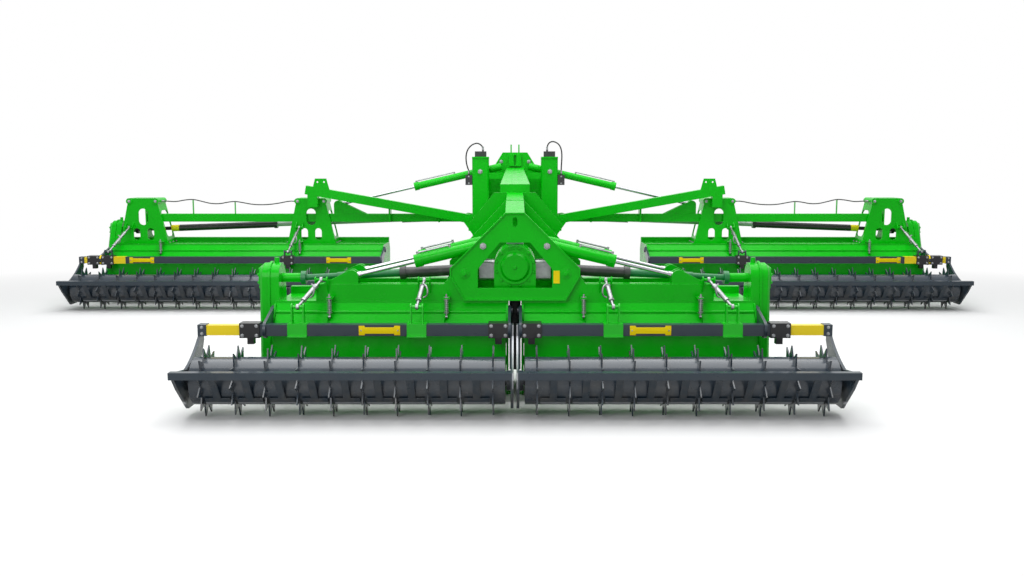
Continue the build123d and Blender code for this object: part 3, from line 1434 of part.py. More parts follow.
# Headstock: mast plate with the three hitch points and the slotted head block
link_x = LINK_SPAN / 2
mast_half = link_x + MAST_MARGIN
mast_front = mast_y + MAST_T
pin_y = mast_front + HITCH_REACH
top_pin_y = mast_front + TOP_PIN_REACH
top_pin_z = LINK_Z + MAST_HEIGHT
with BuildPart() as headstock:
    with BuildSketch(rear_view(mast_front)):
        Polygon(
            (-mast_half, MAST_LOW),
            (mast_half, MAST_LOW),
            (mast_half, MAST_SHOULDER),
            (MAST_HEAD, MAST_TOP),
            (-MAST_HEAD, MAST_TOP),
            (-mast_half, MAST_SHOULDER),
            align=None,
        )
        with Locations((0, WING_HINGE_Z)):
            Circle(MAST_HEAD - JOINT_R, mode=Mode.SUBTRACT)
    extrude(amount=MAST_T)
    with BuildSketch(rear_view(mast_y)):
        with Locations((0, (SPINE_FRONT_TOP + MAST_TOP) / 2)):
            Rectangle(MAST_HEAD, MAST_TOP - SPINE_FRONT_TOP - 2 * MAST_T)
            SlotOverall(2 * BRACE_W, BRACE_W / 2, rotation=90, mode=Mode.SUBTRACT)
    extrude(amount=2 * MAST_T)
    for side in (-1, 1):
        with BuildSketch(side_view(side * (link_x - LINK_LUG_T / 2) - LINK_LUG_T / 2)):
            with Locations((pin_y, LINK_Z)):
                Circle(LINK_LUG_R)
            with Locations((mast_front + MAST_T / 2, LINK_Z + LINK_LUG_R)):
                Rectangle(MAST_T, 6 * LINK_LUG_R)
            make_hull()
        extrude(amount=LINK_LUG_T)
        with BuildSketch(side_view(side * (link_x + LINK_PIN_L / 2) - LINK_PIN_L / 2)):
            with Locations((pin_y, LINK_Z)):
                Circle(LINK_PIN_R)
        extrude(amount=LINK_PIN_L)
        with BuildSketch(side_view(side * TOP_LUG_X - TOP_LUG_T / 2)):
            with Locations((top_pin_y, top_pin_z)):
                Circle(TOP_LUG_R)
            with Locations((mast_front + MAST_T / 2, top_pin_z)):
                Rectangle(MAST_T, 4 * TOP_LUG_R)
            make_hull()
            with Locations((top_pin_y, top_pin_z)):
                Circle(TOP_PIN_R + PIN_FIT, mode=Mode.SUBTRACT)
        extrude(amount=TOP_LUG_T)
        with Locations((side * LINK_LUG_R, mast_y + MAST_T / 2, MAST_TOP + LINK_LUG_R)):
            Box(LINK_LUG_T / 2, MAST_T, 2 * LINK_LUG_R)
save(headstock.part, "headstock")

# Valve blocks on the post caps and manifolds on the posts' outer faces, with hose nipples
valve_low = POST_TOP + POST_CAP_T
manifold_x = POST_OUT + MANIFOLD[0] / 2
manifold_y = FRONT_Y + POST_Y0 + MANIFOLD[1] / 2
with BuildPart() as valve_blocks:
    for side in (-1, 1):
        block_x = side * (POST_IN + POST_OUT) / 2
        with Locations((block_x, post_mid_y, valve_low + VALVE[2] / 2)):
            Box(*VALVE)
        with Locations((side * manifold_x, manifold_y, MANIFOLD_Z)):
            Box(*MANIFOLD)
        with BuildSketch(Plane.XY.offset(valve_low)):
            with Locations((side * NIPPLE_X, FRONT_Y + NIPPLE_Y)):
                Circle(NIPPLE_R)
        extrude(amount=VALVE[2] + NIPPLE_H)
        with BuildSketch(Plane.XY.offset(MANIFOLD_Z)):
            with Locations((side * manifold_x, manifold_y)):
                Circle(NIPPLE_R)
        extrude(amount=MANIFOLD[2] / 2 + NIPPLE_H)
save(valve_blocks.part, "valve_blocks")

# Hoses: a loop over each post from the valve block to the manifold, and one along each wing beam
right_loop = (
    (480, 3120, 2274),
    (480, 3120, 2330),
    (508, 3100, 2388),
    (580, 3074, 2404),
    (652, 3052, 2364),
    (690, 3046, 2288),
    (700, 3046, 2196),
    (696, 3048, 2100),
    (690, 3050, 2004),
    (690, 3050, 1925),
)
left_loop = (
    (-480, 3120, 2274),
    (-480, 3120, 2322),
    (-512, 3098, 2366),
    (-580, 3070, 2376),
    (-650, 3050, 2346),
    (-704, 3044, 2284),
    (-730, 3044, 2202),
    (-730, 3046, 2114),
    (-714, 3048, 2028),
    (-690, 3050, 1972),
    (-690, 3050, 1925),
)
wing_route = (
    (3366, 3310, 1504),
    (3450, 3310, 1504),
    (3600, 3312, 1470),
    (3800, 3314, 1446),
    (4000, 3314, 1450),
    (4160, 3311, 1482),
    (4270, 3310, 1500),
    (4380, 3310, 1488),
    (4500, 3312, 1462),
    (4640, 3313, 1464),
    (4780, 3311, 1500),
    (4910, 3310, 1532),
    (5040, 3310, 1520),
    (5180, 3311, 1492),
    (5310, 3310, 1504),
    (5389, 3310, 1504),
)
save(make_hose(right_loop, HOSE_R), "hose_loop_right")
save(make_hose(left_loop, HOSE_R), "hose_loop_left")
save_pair(make_hose(wing_route, WING_HOSE_R), "wing_hose")
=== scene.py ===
# Folding rotary tiller: finishes, small fittings, hoses, floor, light and camera, in metres.
# X is across the machine, Y is the direction of travel, Z is up, and the ground is at Z = 0.
import json
from math import atan, cos, pi, radians, sin

import bpy
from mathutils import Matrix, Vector


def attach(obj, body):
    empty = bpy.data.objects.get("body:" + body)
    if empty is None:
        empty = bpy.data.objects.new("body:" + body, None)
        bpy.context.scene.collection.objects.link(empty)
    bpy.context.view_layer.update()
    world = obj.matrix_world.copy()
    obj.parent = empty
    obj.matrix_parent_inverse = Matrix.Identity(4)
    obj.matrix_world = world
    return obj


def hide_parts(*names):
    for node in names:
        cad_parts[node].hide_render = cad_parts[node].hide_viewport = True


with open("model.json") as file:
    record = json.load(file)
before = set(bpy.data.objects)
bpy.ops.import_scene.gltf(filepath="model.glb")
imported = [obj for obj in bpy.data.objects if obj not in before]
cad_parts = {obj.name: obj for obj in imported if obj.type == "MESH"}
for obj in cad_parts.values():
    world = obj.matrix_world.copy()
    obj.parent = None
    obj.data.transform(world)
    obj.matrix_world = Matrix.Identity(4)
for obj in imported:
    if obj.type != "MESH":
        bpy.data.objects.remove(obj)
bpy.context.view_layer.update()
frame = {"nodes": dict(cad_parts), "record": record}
nodes = frame["nodes"]
SIDES = (("right", 1), ("left", -1))

# The photograph: 1024 by 576, taken from behind the machine, a little above head height
PHOTO_W, PHOTO_H = 1024, 576
FOCAL_PX = 1004
HORIZON_ROW = 157
CENTRE_COLUMN = 515
CAMERA_Y, CAMERA_Z = -12.05, 2.17

# Light and floor
FLOOR_HALF = 60
FADE_START, FADE_END = 5.0, 9.0
OVAL = 0.62
SKY = 0.30
FLOOR_SEEN, FLOOR_BOUNCE = (0.86, 0.86, 0.86), (0.30, 0.30, 0.30)
LAMPS = (
    ("overhead_panel", (0, 0, 11), (0, 0, 0), 14, 1900),
    ("rear_panel", (-5, -16, 8), (radians(58), 0, radians(-16)), 9, 850),
)

# Places that the solids share: the units' axles, the crossbar above them, and points on the right-hand side
REAR_Y, WING_Y = -3.75, 2.25
BAR_Y, BAR_Z = 0.37, 0.672
AXLE_Z, ROTOR_Z, INPUT_Z, COVER_Z = 0.30, 0.272, 1.055, 1.18
REAR_CLAMPS, WING_CLAMPS = (0.145, 2.310), (3.330, 5.960, 6.165)
CLAMP_HALF = 0.0875
REAR_SADDLES = (0.857, 1.897)
REAR_TURNS = (
    ((0.857, -3.380, 0.872), (0.815, -3.095, 1.075)),
    ((1.897, -3.380, 0.872), (1.740, -3.095, 1.075)),
)
WING_TURNS = (
    ((3.330, 2.620, 0.790), (3.274, 3.185, 1.110)),
    ((5.960, 2.620, 0.790), (5.855, 3.185, 1.110)),
)
REAR_SPRINGS = ((0.614, -3.165), (1.660, -3.165))
WING_SPRINGS = ((3.200, 2.835), (5.270, 2.835))
SPRING_LOW, SPRING_HIGH = 0.790, 0.9057
STANDS = (3.100, 5.655)
# Dark sheet of painted shade between the rear units: half width, thickness, place and height span
SHADE_SHEET_HALF, SHADE_SHEET_T, SHADE_SHEET_Y = 0.054, 0.008, -2.460
SHADE_SHEET_LOW, SHADE_SHEET_HIGH = 0.120, 0.893

# Bolt places: a start outside the machine for finding a surface, bolt circles, and steps from a centre
OUTSIDE_X, BEHIND_UNIT, BEHIND_FRAME = 6.8, 0.4, -3.5
CAP_RING, COVER_RING, GEARBOX_RING = 0.048, 0.092, 0.174
CLAMP_STEPS, BLOCK_STEP = (0.062, 0.042), 0.028
STAND_KNOB, STAND_FOOT, STAND_ROWS = 0.200, 0.379, (3.27, 3.41, 3.55)
PLATE_T, RIVET_STEP = 0.005, 0.16

# Oil pipes along the fold cylinders: barrel, its foot and eye, height over the axis, and run along it
PIPES = (
    ("wing_pipe", "wing_barrel", (0.500, 3.350, 1.960), (2.700, 3.350, 1.450), 0.076, (0.42, 1.02)),
    ("rear_pipe_1", "rear_barrels", (0.286, -2.980, 1.380), (1.480, -2.980, 1.095), 0.070, (0.30, 0.60)),
    ("rear_pipe_2", "rear_barrels", (0.286, -2.520, 1.380), (1.480, -2.520, 1.095), 0.070, (0.30, 0.60)),
)
PIPE_R, PIPE_FOOT, PIPE_BEND = 0.009, 0.045, 0.04

# Hooked lever of a turnbuckle: steps across, up and along from its grip
LEVER = (
    (0.034, 0, 0), (0.060, 0.010, 0), (0.075, 0.045, 0),
    (0.070, 0.085, 0.03), (0.045, 0.100, 0.06), (0.020, 0.092, 0.08),
)
LEVER_R, GRIP_SHARE, NUT_SHARES = 0.008, 0.34, (0.245, 0.755)

# Colours
GREEN = (0.002, 0.54, 0.006)
GREEN_SHADE = (0.001, 0.46, 0.004)
YELLOW = (1.0, 0.76, 0.002)
BLACK = (0.012, 0.012, 0.014)
CHARCOAL = (0.029, 0.046, 0.064)
CHARCOAL_SHADE = (0.021, 0.034, 0.048)
RUBBED_GREEN, RUBBED_DARK = (0.10, 0.58, 0.12), (0.16, 0.17, 0.18)
DUST, WORN_STEEL = (0.20, 0.17, 0.13), (0.30, 0.31, 0.33)

# Hose routes, from fitting to fitting
RIGHT_LOOP = (
    (0.480, 3.120, 2.274), (0.480, 3.120, 2.330), (0.512, 3.102, 2.387), (0.574, 3.074, 2.404),
    (0.652, 3.052, 2.364), (0.690, 3.046, 2.288), (0.700, 3.046, 2.196), (0.696, 3.048, 2.100),
    (0.690, 3.050, 2.004), (0.690, 3.050, 1.925),
)
LEFT_LOOP = (
    (-0.480, 3.120, 2.274), (-0.480, 3.120, 2.322), (-0.534, 3.091, 2.368), (-0.582, 3.073, 2.375),
    (-0.650, 3.050, 2.346), (-0.704, 3.044, 2.284), (-0.730, 3.044, 2.202), (-0.730, 3.046, 2.114),
    (-0.714, 3.048, 2.028), (-0.690, 3.050, 1.972), (-0.690, 3.050, 1.925),
)
WING_RUN = (
    (3.366, 3.310, 1.504), (3.450, 3.310, 1.504), (3.600, 3.312, 1.470), (3.800, 3.314, 1.446),
    (4.000, 3.314, 1.450), (4.160, 3.311, 1.482), (4.270, 3.310, 1.500), (4.380, 3.310, 1.488),
    (4.500, 3.312, 1.462), (4.640, 3.313, 1.464), (4.780, 3.311, 1.500), (4.910, 3.310, 1.532),
    (5.040, 3.310, 1.520), (5.180, 3.311, 1.492), (5.310, 3.310, 1.504), (5.389, 3.310, 1.504),
)


def deselect():
    bpy.ops.object.select_all(action="DESELECT")


# Material tools: each finish is a short function that wires its own nodes
def start_material(name):
    material = bpy.data.materials.new(name)
    material.use_nodes = True
    tree = material.node_tree
    shader = tree.nodes["Principled BSDF"]
    place = tree.nodes.new("ShaderNodeTexCoord")
    return material, tree, shader, place.outputs["Object"]


def noise(tree, place, scale, detail=3.0, rough=0.5):
    node = tree.nodes.new("ShaderNodeTexNoise")
    node.inputs["Scale"].default_value = scale
    node.inputs["Detail"].default_value = detail
    node.inputs["Roughness"].default_value = rough
    tree.links.new(place, node.inputs["Vector"])
    return node.outputs["Fac"]


def spread(tree, value, low, high, to_low, to_high):
    node = tree.nodes.new("ShaderNodeMapRange")
    node.inputs["From Min"].default_value = low
    node.inputs["From Max"].default_value = high
    node.inputs["To Min"].default_value = to_low
    node.inputs["To Max"].default_value = to_high
    tree.links.new(value, node.inputs["Value"])
    return node.outputs["Result"]


def maths(tree, operation, first, second):
    node = tree.nodes.new("ShaderNodeMath")
    node.operation = operation
    node.use_clamp = operation == "MULTIPLY"
    for slot, value in zip(node.inputs, (first, second)):
        if isinstance(value, (int, float)):
            slot.default_value = value
        else:
            tree.links.new(value, slot)
    return node.outputs["Value"]


def mixed(tree, factor, first, second):
    node = tree.nodes.new("ShaderNodeMix")
    node.data_type = "RGBA"
    tree.links.new(factor, node.inputs["Factor"])
    for slot, value in zip((node.inputs["A"], node.inputs["B"]), (first, second)):
        if isinstance(value, tuple):
            slot.default_value = (*value, 1)
        else:
            tree.links.new(value, slot)
    return node.outputs["Result"]


def axis_of(tree, place, axis):
    node = tree.nodes.new("ShaderNodeSeparateXYZ")
    tree.links.new(place, node.inputs["Vector"])
    return node.outputs[axis]


def within(tree, value, low, high):
    above = maths(tree, "GREATER_THAN", value, low)
    below = maths(tree, "LESS_THAN", value, high)
    return maths(tree, "MULTIPLY", above, below)


# A mask that is 1 inside a box, the same on both sides of the machine
def box_mask(tree, place, x_range, y_range, z_range):
    out = maths(tree, "ABSOLUTE", axis_of(tree, place, "X"), 0)
    mask = within(tree, out, *x_range)
    mask = maths(tree, "MULTIPLY", mask, within(tree, axis_of(tree, place, "Y"), *y_range))
    return maths(tree, "MULTIPLY", mask, within(tree, axis_of(tree, place, "Z"), *z_range))


# A mask that is 1 for what the camera, a reflection or clear material looks at
def looked_at(tree):
    path = tree.nodes.new("ShaderNodeLightPath")
    seen = maths(tree, "MAXIMUM", path.outputs["Is Camera Ray"], path.outputs["Is Glossy Ray"])
    return maths(tree, "MAXIMUM", seen, path.outputs["Is Transmission Ray"])


# Soft rounding of the sheet edges, and a mask that is 1 along them
def eased_edges(tree, radius):
    bevel = tree.nodes.new("ShaderNodeBevel")
    bevel.samples = 4
    bevel.inputs["Radius"].default_value = radius
    face = tree.nodes.new("ShaderNodeNewGeometry")
    dot = tree.nodes.new("ShaderNodeVectorMath")
    dot.operation = "DOT_PRODUCT"
    tree.links.new(bevel.outputs["Normal"], dot.inputs[0])
    tree.links.new(face.outputs["Normal"], dot.inputs[1])
    return bevel.outputs["Normal"], spread(tree, dot.outputs["Value"], 0.99, 0.8, 0, 1)


def grain_bump(tree, shader, height, strength, distance, normal=None):
    bump = tree.nodes.new("ShaderNodeBump")
    bump.inputs["Strength"].default_value = strength
    bump.inputs["Distance"].default_value = distance
    tree.links.new(height, bump.inputs["Height"])
    if normal is not None:
        tree.links.new(normal, bump.inputs["Normal"])
    tree.links.new(bump.outputs["Normal"], shader.inputs["Normal"])


# Sprayed paint: broad colour drift, orange-peel skin, rubbed edges and a little road dust low down
# Patches are boxes of another colour, and bare ones are metal
def sprayed_paint(name, colour, shade, rubbed, roughness, coat, patches=(), bare=(), gloss=0.25):
    material, tree, shader, place = start_material(name)
    drift = spread(tree, noise(tree, place, 1.1, 4), 0.3, 0.7, 0, 1)
    body = mixed(tree, drift, shade, colour)
    for patch_colour, *box in patches:
        body = mixed(tree, box_mask(tree, place, *box), body, patch_colour)
    normal, edge = eased_edges(tree, 0.004)
    chips = spread(tree, noise(tree, place, 38, 5, 0.7), 0.45, 0.62, 0, 0.75)
    body = mixed(tree, maths(tree, "MULTIPLY", edge, chips), body, rubbed)
    low = spread(tree, axis_of(tree, place, "Z"), 0.45, 0.05, 0, 0.4)
    dusty = maths(tree, "MULTIPLY", low, spread(tree, noise(tree, place, 9, 6), 0.42, 0.7, 0, 1))
    body = mixed(tree, dusty, body, DUST)
    metal = None
    for box in bare:
        mask = box_mask(tree, place, *box)
        metal = mask if metal is None else maths(tree, "MAXIMUM", metal, mask)
    if metal is not None:
        body = mixed(tree, metal, body, WORN_STEEL)
        tree.links.new(metal, shader.inputs["Metallic"])
    tree.links.new(body, shader.inputs["Base Color"])
    haze = spread(tree, noise(tree, place, 6, 5), 0.3, 0.7, roughness - 0.06, roughness + 0.08)
    tree.links.new(haze, shader.inputs["Roughness"])
    shader.inputs["Coat Weight"].default_value = coat
    shader.inputs["Coat Roughness"].default_value = 0.12
    shader.inputs["Specular IOR Level"].default_value = gloss
    grain_bump(tree, shader, noise(tree, place, 240, 2), 0.12, 0.0006, normal)
    return material


# Zinc-plated or polished steel: faint brushed cloudiness in colour and gloss
def bare_metal(name, colour, shade, low_rough, high_rough):
    material, tree, shader, place = start_material(name)
    cloud = spread(tree, noise(tree, place, 22, 5, 0.6), 0.3, 0.7, 0, 1)
    tree.links.new(mixed(tree, cloud, shade, colour), shader.inputs["Base Color"])
    haze = spread(tree, noise(tree, place, 75, 4), 0.3, 0.7, low_rough, high_rough)
    tree.links.new(haze, shader.inputs["Roughness"])
    shader.inputs["Metallic"].default_value = 1
    normal, _ = eased_edges(tree, 0.002)
    grain_bump(tree, shader, noise(tree, place, 300, 2), 0.08, 0.0004, normal)
    return material


# Moulded plastic and rubber: fine grain with greyed, scuffed patches
def moulded(name, colour, scuffed, roughness, patches=()):
    material, tree, shader, place = start_material(name)
    scuff = spread(tree, noise(tree, place, 14, 6, 0.65), 0.5, 0.75, 0, 0.6)
    body = mixed(tree, scuff, colour, scuffed)
    for patch_colour, *box in patches:
        body = mixed(tree, box_mask(tree, place, *box), body, patch_colour)
    tree.links.new(body, shader.inputs["Base Color"])
    haze = spread(tree, noise(tree, place, 30, 4), 0.3, 0.7, roughness - 0.08, roughness + 0.1)
    tree.links.new(haze, shader.inputs["Roughness"])
    normal, _ = eased_edges(tree, 0.003)
    grain_bump(tree, shader, noise(tree, place, 420, 2), 0.2, 0.0005, normal)
    return material


# Boxes on a roller frame: yellow bar ends, black clamps and green saddles, and bare worn scraper edges
def frame_patches(axle_y, yellow, clamps, saddles):
    bar_y = axle_y + BAR_Y
    near_bar = ((bar_y - 0.07, bar_y + 0.07), (BAR_Z - 0.14, BAR_Z + 0.07))
    patches = [(BLACK, (x - CLAMP_HALF - 0.001, x + CLAMP_HALF + 0.001), *near_bar) for x in clamps]
    patches += [(YELLOW, span, *near_bar) for span in yellow]
    patches += [
        (GREEN, (x - 0.086, x + 0.086), (bar_y - 0.10, bar_y + 0.10), (BAR_Z - 0.07, 0.95)) for x in saddles
    ]
    edges = ((0.10, 6.32), (axle_y - 0.165, axle_y - 0.115), (0.125, 0.153))
    return patches, [edges]


rear_patches, rear_bare = frame_patches(REAR_Y, [(2.398, 2.690)], REAR_CLAMPS, REAR_SADDLES)
wing_patches, wing_bare = frame_patches(
    WING_Y, [(5.70, 5.872), (6.048, 6.077), (6.253, 6.304)], WING_CLAMPS, ()
)
rear_bare.append(((0.005, 0.024), (-4.2, -3.0), (0.3, 0.9)))

FINISHES = {
    "green_paint": sprayed_paint("green_paint", GREEN, GREEN_SHADE, RUBBED_GREEN, 0.26, 0.08, gloss=0.12),
    "dark_paint": sprayed_paint("dark_paint", CHARCOAL, CHARCOAL_SHADE, RUBBED_DARK, 0.30, 0.35),
    "dark_steel": sprayed_paint(
        "dark_steel", (0.045, 0.048, 0.052), (0.030, 0.032, 0.036), (0.30, 0.30, 0.30), 0.42, 0.0
    ),
    "bright_steel": bare_metal("bright_steel", (0.36, 0.37, 0.38), (0.25, 0.26, 0.27), 0.34, 0.50),
    "chrome_rod": bare_metal("chrome_rod", (0.42, 0.43, 0.45), (0.37, 0.38, 0.40), 0.14, 0.24),
    "black_plastic": moulded("black_plastic", BLACK, (0.05, 0.05, 0.05), 0.42),
    "black_iron": moulded("black_iron", (0.018, 0.019, 0.021), (0.07, 0.07, 0.07), 0.5),
    "hose_rubber": moulded("hose_rubber", (0.010, 0.010, 0.011), (0.035, 0.035, 0.035), 0.55),
    "yellow_paint": sprayed_paint(
        "yellow_paint", YELLOW, (0.97, 0.71, 0.002), (0.80, 0.68, 0.30), 0.34, 0.05, gloss=0.12
    ),
}

# Finishes of single nodes: two-colour frames, shafts with pale sleeves, the gearbox with its grey dome
rear_frame_paint = sprayed_paint(
    "rear_frame_paint", CHARCOAL, CHARCOAL_SHADE, RUBBED_DARK, 0.32, 0.3, rear_patches, rear_bare
)
wing_frame_paint = sprayed_paint(
    "wing_frame_paint", CHARCOAL, CHARCOAL_SHADE, RUBBED_DARK, 0.32, 0.3, wing_patches, wing_bare
)
any_y_z = ((-9, 9), (-9, 9))
rear_shaft_skin = moulded(
    "rear_shaft_skin", (0.030, 0.031, 0.033), (0.10, 0.10, 0.10), 0.42,
    [((0.003, 0.17, 0.045), (1.072, 3.0), *any_y_z)],
)
wing_shaft_skin = moulded(
    "wing_shaft_skin", BLACK, (0.05, 0.05, 0.05), 0.42,
    [((0.48, 0.50, 0.51), (1.752, 3.678), *any_y_z), (YELLOW, (5.20, 5.318), *any_y_z)],
)
gearbox_paint = sprayed_paint(
    "gearbox_paint", GREEN, GREEN_SHADE, RUBBED_GREEN, 0.26, 0.08,
    [((0.34, 0.38, 0.42), (-0.01, 0.10), (-2.86, -2.64), (1.372, 1.6))], gloss=0.12,
)
roller_paint = sprayed_paint(
    "roller_paint", (0.022, 0.038, 0.056), (0.016, 0.028, 0.043), (0.12, 0.13, 0.14), 0.24, 0.4, gloss=0.4
)
OWN_FINISHES = {
    "rear_roller": roller_paint,
    "wing_roller": roller_paint,
    "rear_roller_frame": rear_frame_paint,
    "wing_roller_frame": wing_frame_paint,
    "rear_drive_shaft": rear_shaft_skin,
    "wing_drive_shaft": wing_shaft_skin,
    "rear_gearbox": gearbox_paint,
}

for piece in frame["record"]["subparts"]:
    mesh = nodes[piece["node"]].data
    mesh.materials.clear()
    kind = piece["node"].removesuffix("_right").removesuffix("_left")
    mesh.materials.append(OWN_FINISHES.get(kind, FINISHES[piece["material_slot"]]))


# Hoses: one smooth curve each, drawn along its route's points
def make_hose(name, body, node, route, diameter):
    curve = bpy.data.curves.new(name, "CURVE")
    curve.dimensions = "3D"
    spline = curve.splines.new("NURBS")
    spline.points.add(len(route) - 1)
    for point, at in zip(spline.points, route):
        point.co = (*at, 1)
    spline.order_u = 3
    spline.use_endpoint_u = True
    spline.resolution_u = 12
    hose = bpy.data.objects.new(name, curve)
    bpy.context.collection.objects.link(hose)
    line = bpy.data.meshes.new_from_object(hose)
    at = [vertex.co.copy() for vertex in line.vertices]
    bpy.data.meshes.remove(line)
    curve.bevel_depth = diameter / 2
    curve.bevel_resolution = 4
    curve.use_fill_caps = True
    curve.materials.append(FINISHES["hose_rubber"])
    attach(hose, body)
    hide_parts(node)


make_hose("post_hose_right", "frame", "hose_loop_right", RIGHT_LOOP, 0.020)
make_hose("post_hose_left", "frame", "hose_loop_left", LEFT_LOOP, 0.020)
for side, way in SIDES:
    run = [(way * x, y, z) for x, y, z in WING_RUN]
    make_hose(f"beam_hose_{side}", f"wing_{side}", f"wing_hose_{side}", run, 0.016)


# Modelling tools
def pick(piece, test):
    bpy.ops.object.mode_set(mode="EDIT")
    bpy.ops.mesh.select_mode(type="FACE")
    bpy.ops.mesh.select_all(action="DESELECT")
    bpy.ops.object.mode_set(mode="OBJECT")
    for face in piece.data.polygons:
        face.select = test(face.center, face.normal)
    bpy.ops.object.mode_set(mode="EDIT")


def pull(x=0, y=0, z=0):
    bpy.ops.mesh.extrude_region_move(TRANSFORM_OT_translate={"value": (x, y, z)})


def face_out():
    bpy.ops.mesh.select_all(action="SELECT")
    bpy.ops.mesh.normals_make_consistent(inside=False)
    bpy.ops.object.mode_set(mode="OBJECT")


def apply_place():
    bpy.ops.object.transform_apply(location=True, rotation=True, scale=True)


# Gives a finished piece its name, its finish and the body that it moves with
def dress(piece, name, body, finish):
    piece.name = piece.data.name = name
    deselect()
    piece.select_set(True)
    bpy.context.view_layer.objects.active = piece
    apply_place()
    bpy.ops.object.shade_smooth_by_angle(angle=radians(32))
    piece.data.materials.clear()
    piece.data.materials.append(FINISHES[finish])
    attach(piece, body)


# Copies of one model, each at its own point, axis and size, joined as one piece
def set_out(model, name, body, finish, places):
    deselect()
    for at, facing, size in places:
        copy = bpy.data.objects.new(name, model.data.copy())
        bpy.context.collection.objects.link(copy)
        copy.location = at
        copy.rotation_euler = Vector(facing).to_track_quat("Z", "Y").to_euler()
        copy.scale = (size, size, size)
        copy.select_set(True)
        bpy.context.view_layer.objects.active = copy
    bpy.ops.object.join()
    dress(bpy.context.object, name, body, finish)


# Where a straight line first meets a node, and the way the surface faces there
def seat(node, start, heading, size=1.0):
    met, at, facing, _ = nodes[node].ray_cast(Vector(start), Vector(heading))
    if not met:
        raise RuntimeError(f"no surface of {node} in line with {start}")
    return at, facing, size


# Flanged hexagon bolt head, standing on the ground plane
def model_bolt():
    deselect()
    bpy.ops.mesh.primitive_cylinder_add(vertices=6, radius=0.0165, depth=0.012, location=(0, 0, 0.010))
    bolt = bpy.context.object
    apply_place()
    pick(bolt, lambda at, facing: facing.z > 0.9)
    bpy.ops.mesh.inset(thickness=0.0030)
    bpy.ops.transform.translate(value=(0, 0, 0.002))
    pick(bolt, lambda at, facing: facing.z < -0.9)
    pull()
    bpy.ops.transform.resize(value=(1.45, 1.45, 1), center_override=(0, 0, 0.004))
    pull(z=-0.004)
    face_out()
    return bolt


# Hexagon nut with eased corners, for a rod that passes through it
def model_nut():
    deselect()
    bpy.ops.mesh.primitive_cylinder_add(vertices=6, radius=0.030, depth=0.018)
    nut = bpy.context.object
    for way in (1, -1):
        pick(nut, lambda at, facing: facing.z * way > 0.9)
        bpy.ops.mesh.inset(thickness=0.005)
        bpy.ops.transform.translate(value=(0, 0, way * 0.003))
    face_out()
    return nut


# Hose end: hexagon, neck and crimped sleeve, growing along +Z
def model_ferrule():
    deselect()
    bpy.ops.mesh.primitive_cylinder_add(vertices=12, radius=0.0165, depth=0.012, location=(0, 0, 0.006))
    ferrule = bpy.context.object
    apply_place()
    pick(ferrule, lambda at, facing: facing.z > 0.9)
    bpy.ops.mesh.inset(thickness=0.004)
    pull(z=0.006)
    for swell, rise in ((1.20, 0), (1, 0.012), (0.92, 0.003), (1.08, 0.003), (1, 0.012), (0.85, 0.003)):
        pull(z=rise)
        bpy.ops.transform.resize(value=(swell, swell, 1), center_override=(0, 0, 0))
    face_out()
    return ferrule


# Coil spring standing on the ground plane
def model_spring(height, radius, wire, turns):
    deselect()
    bpy.ops.mesh.primitive_circle_add(
        vertices=8, radius=wire, location=(radius - wire, 0, wire), rotation=(radians(90), 0, 0)
    )
    spring = bpy.context.object
    apply_place()
    coil = spring.modifiers.new("coil", "SCREW")
    coil.angle = 2 * pi
    coil.screw_offset = (height - 2 * wire) / turns
    coil.iterations = turns
    coil.steps = coil.render_steps = 18
    bpy.ops.object.modifier_apply(modifier="coil")
    bpy.ops.object.mode_set(mode="EDIT")
    bpy.ops.mesh.select_all(action="SELECT")
    bpy.ops.mesh.remove_doubles(threshold=0.0001)
    bpy.ops.mesh.fill_holes(sides=0)
    face_out()
    return spring


# Blank plate in the XZ plane with taller ends, its face towards -Y
def model_plate(width, height, depth):
    deselect()
    bpy.ops.mesh.primitive_cube_add(size=1, scale=(0.70 * width, depth, 0.66 * height))
    plate = bpy.context.object
    apply_place()
    for way in (1, -1):
        pick(plate, lambda at, facing: facing.x * way > 0.9 and at.x * way > 0.3 * width)
        pull(x=way * 0.01 * width)
        bpy.ops.transform.resize(value=(1, 1, 1.5), center_override=(0, 0, 0))
        pull(x=way * 0.14 * width)
    face_out()
    soft = plate.modifiers.new("soft", "BEVEL")
    soft.width = 0.0012
    soft.segments = 2
    bpy.ops.object.modifier_apply(modifier="soft")
    return plate


# Bent rod or pipe through a few points, as a mesh
def bent_rod(name, body, finish, points, radius):
    deselect()
    curve = bpy.data.curves.new(name, "CURVE")
    curve.dimensions = "3D"
    spline = curve.splines.new("NURBS")
    spline.points.add(len(points) - 1)
    for point, at in zip(spline.points, points):
        point.co = (*at, 1)
    spline.order_u = 3
    spline.use_endpoint_u = True
    spline.resolution_u = 6
    curve.bevel_depth = radius
    curve.bevel_resolution = 2
    curve.use_fill_caps = True
    rod = bpy.data.objects.new(name, curve)
    bpy.context.collection.objects.link(rod)
    rod.select_set(True)
    bpy.context.view_layer.objects.active = rod
    bpy.ops.object.convert(target="MESH")
    dress(bpy.context.object, name, body, finish)


# Points evenly round a circle
def ring_of(count, radius, start=0.0):
    turns = [start + 2 * pi * k / count for k in range(count)]
    return [(radius * cos(turn), radius * sin(turn)) for turn in turns]


bolt = model_bolt()
nut = model_nut()
ferrule = model_ferrule()
spring = model_spring(SPRING_HIGH - SPRING_LOW, 0.023, 0.0038, 6)
bar_plate = model_plate(0.36, 0.085, PLATE_T)

# Unit, axle, clamps, end block, rotor and input shaft, turnbuckles, springs and plates
UNITS = (
    ("rear", REAR_Y, REAR_CLAMPS, 2.7275, (-2.75, -2.75), REAR_TURNS, REAR_SPRINGS, (1.18,)),
    ("wing", WING_Y, WING_CLAMPS, 6.3425, (3.25, 3.52), WING_TURNS, WING_SPRINGS, (2.58, 5.46)),
)

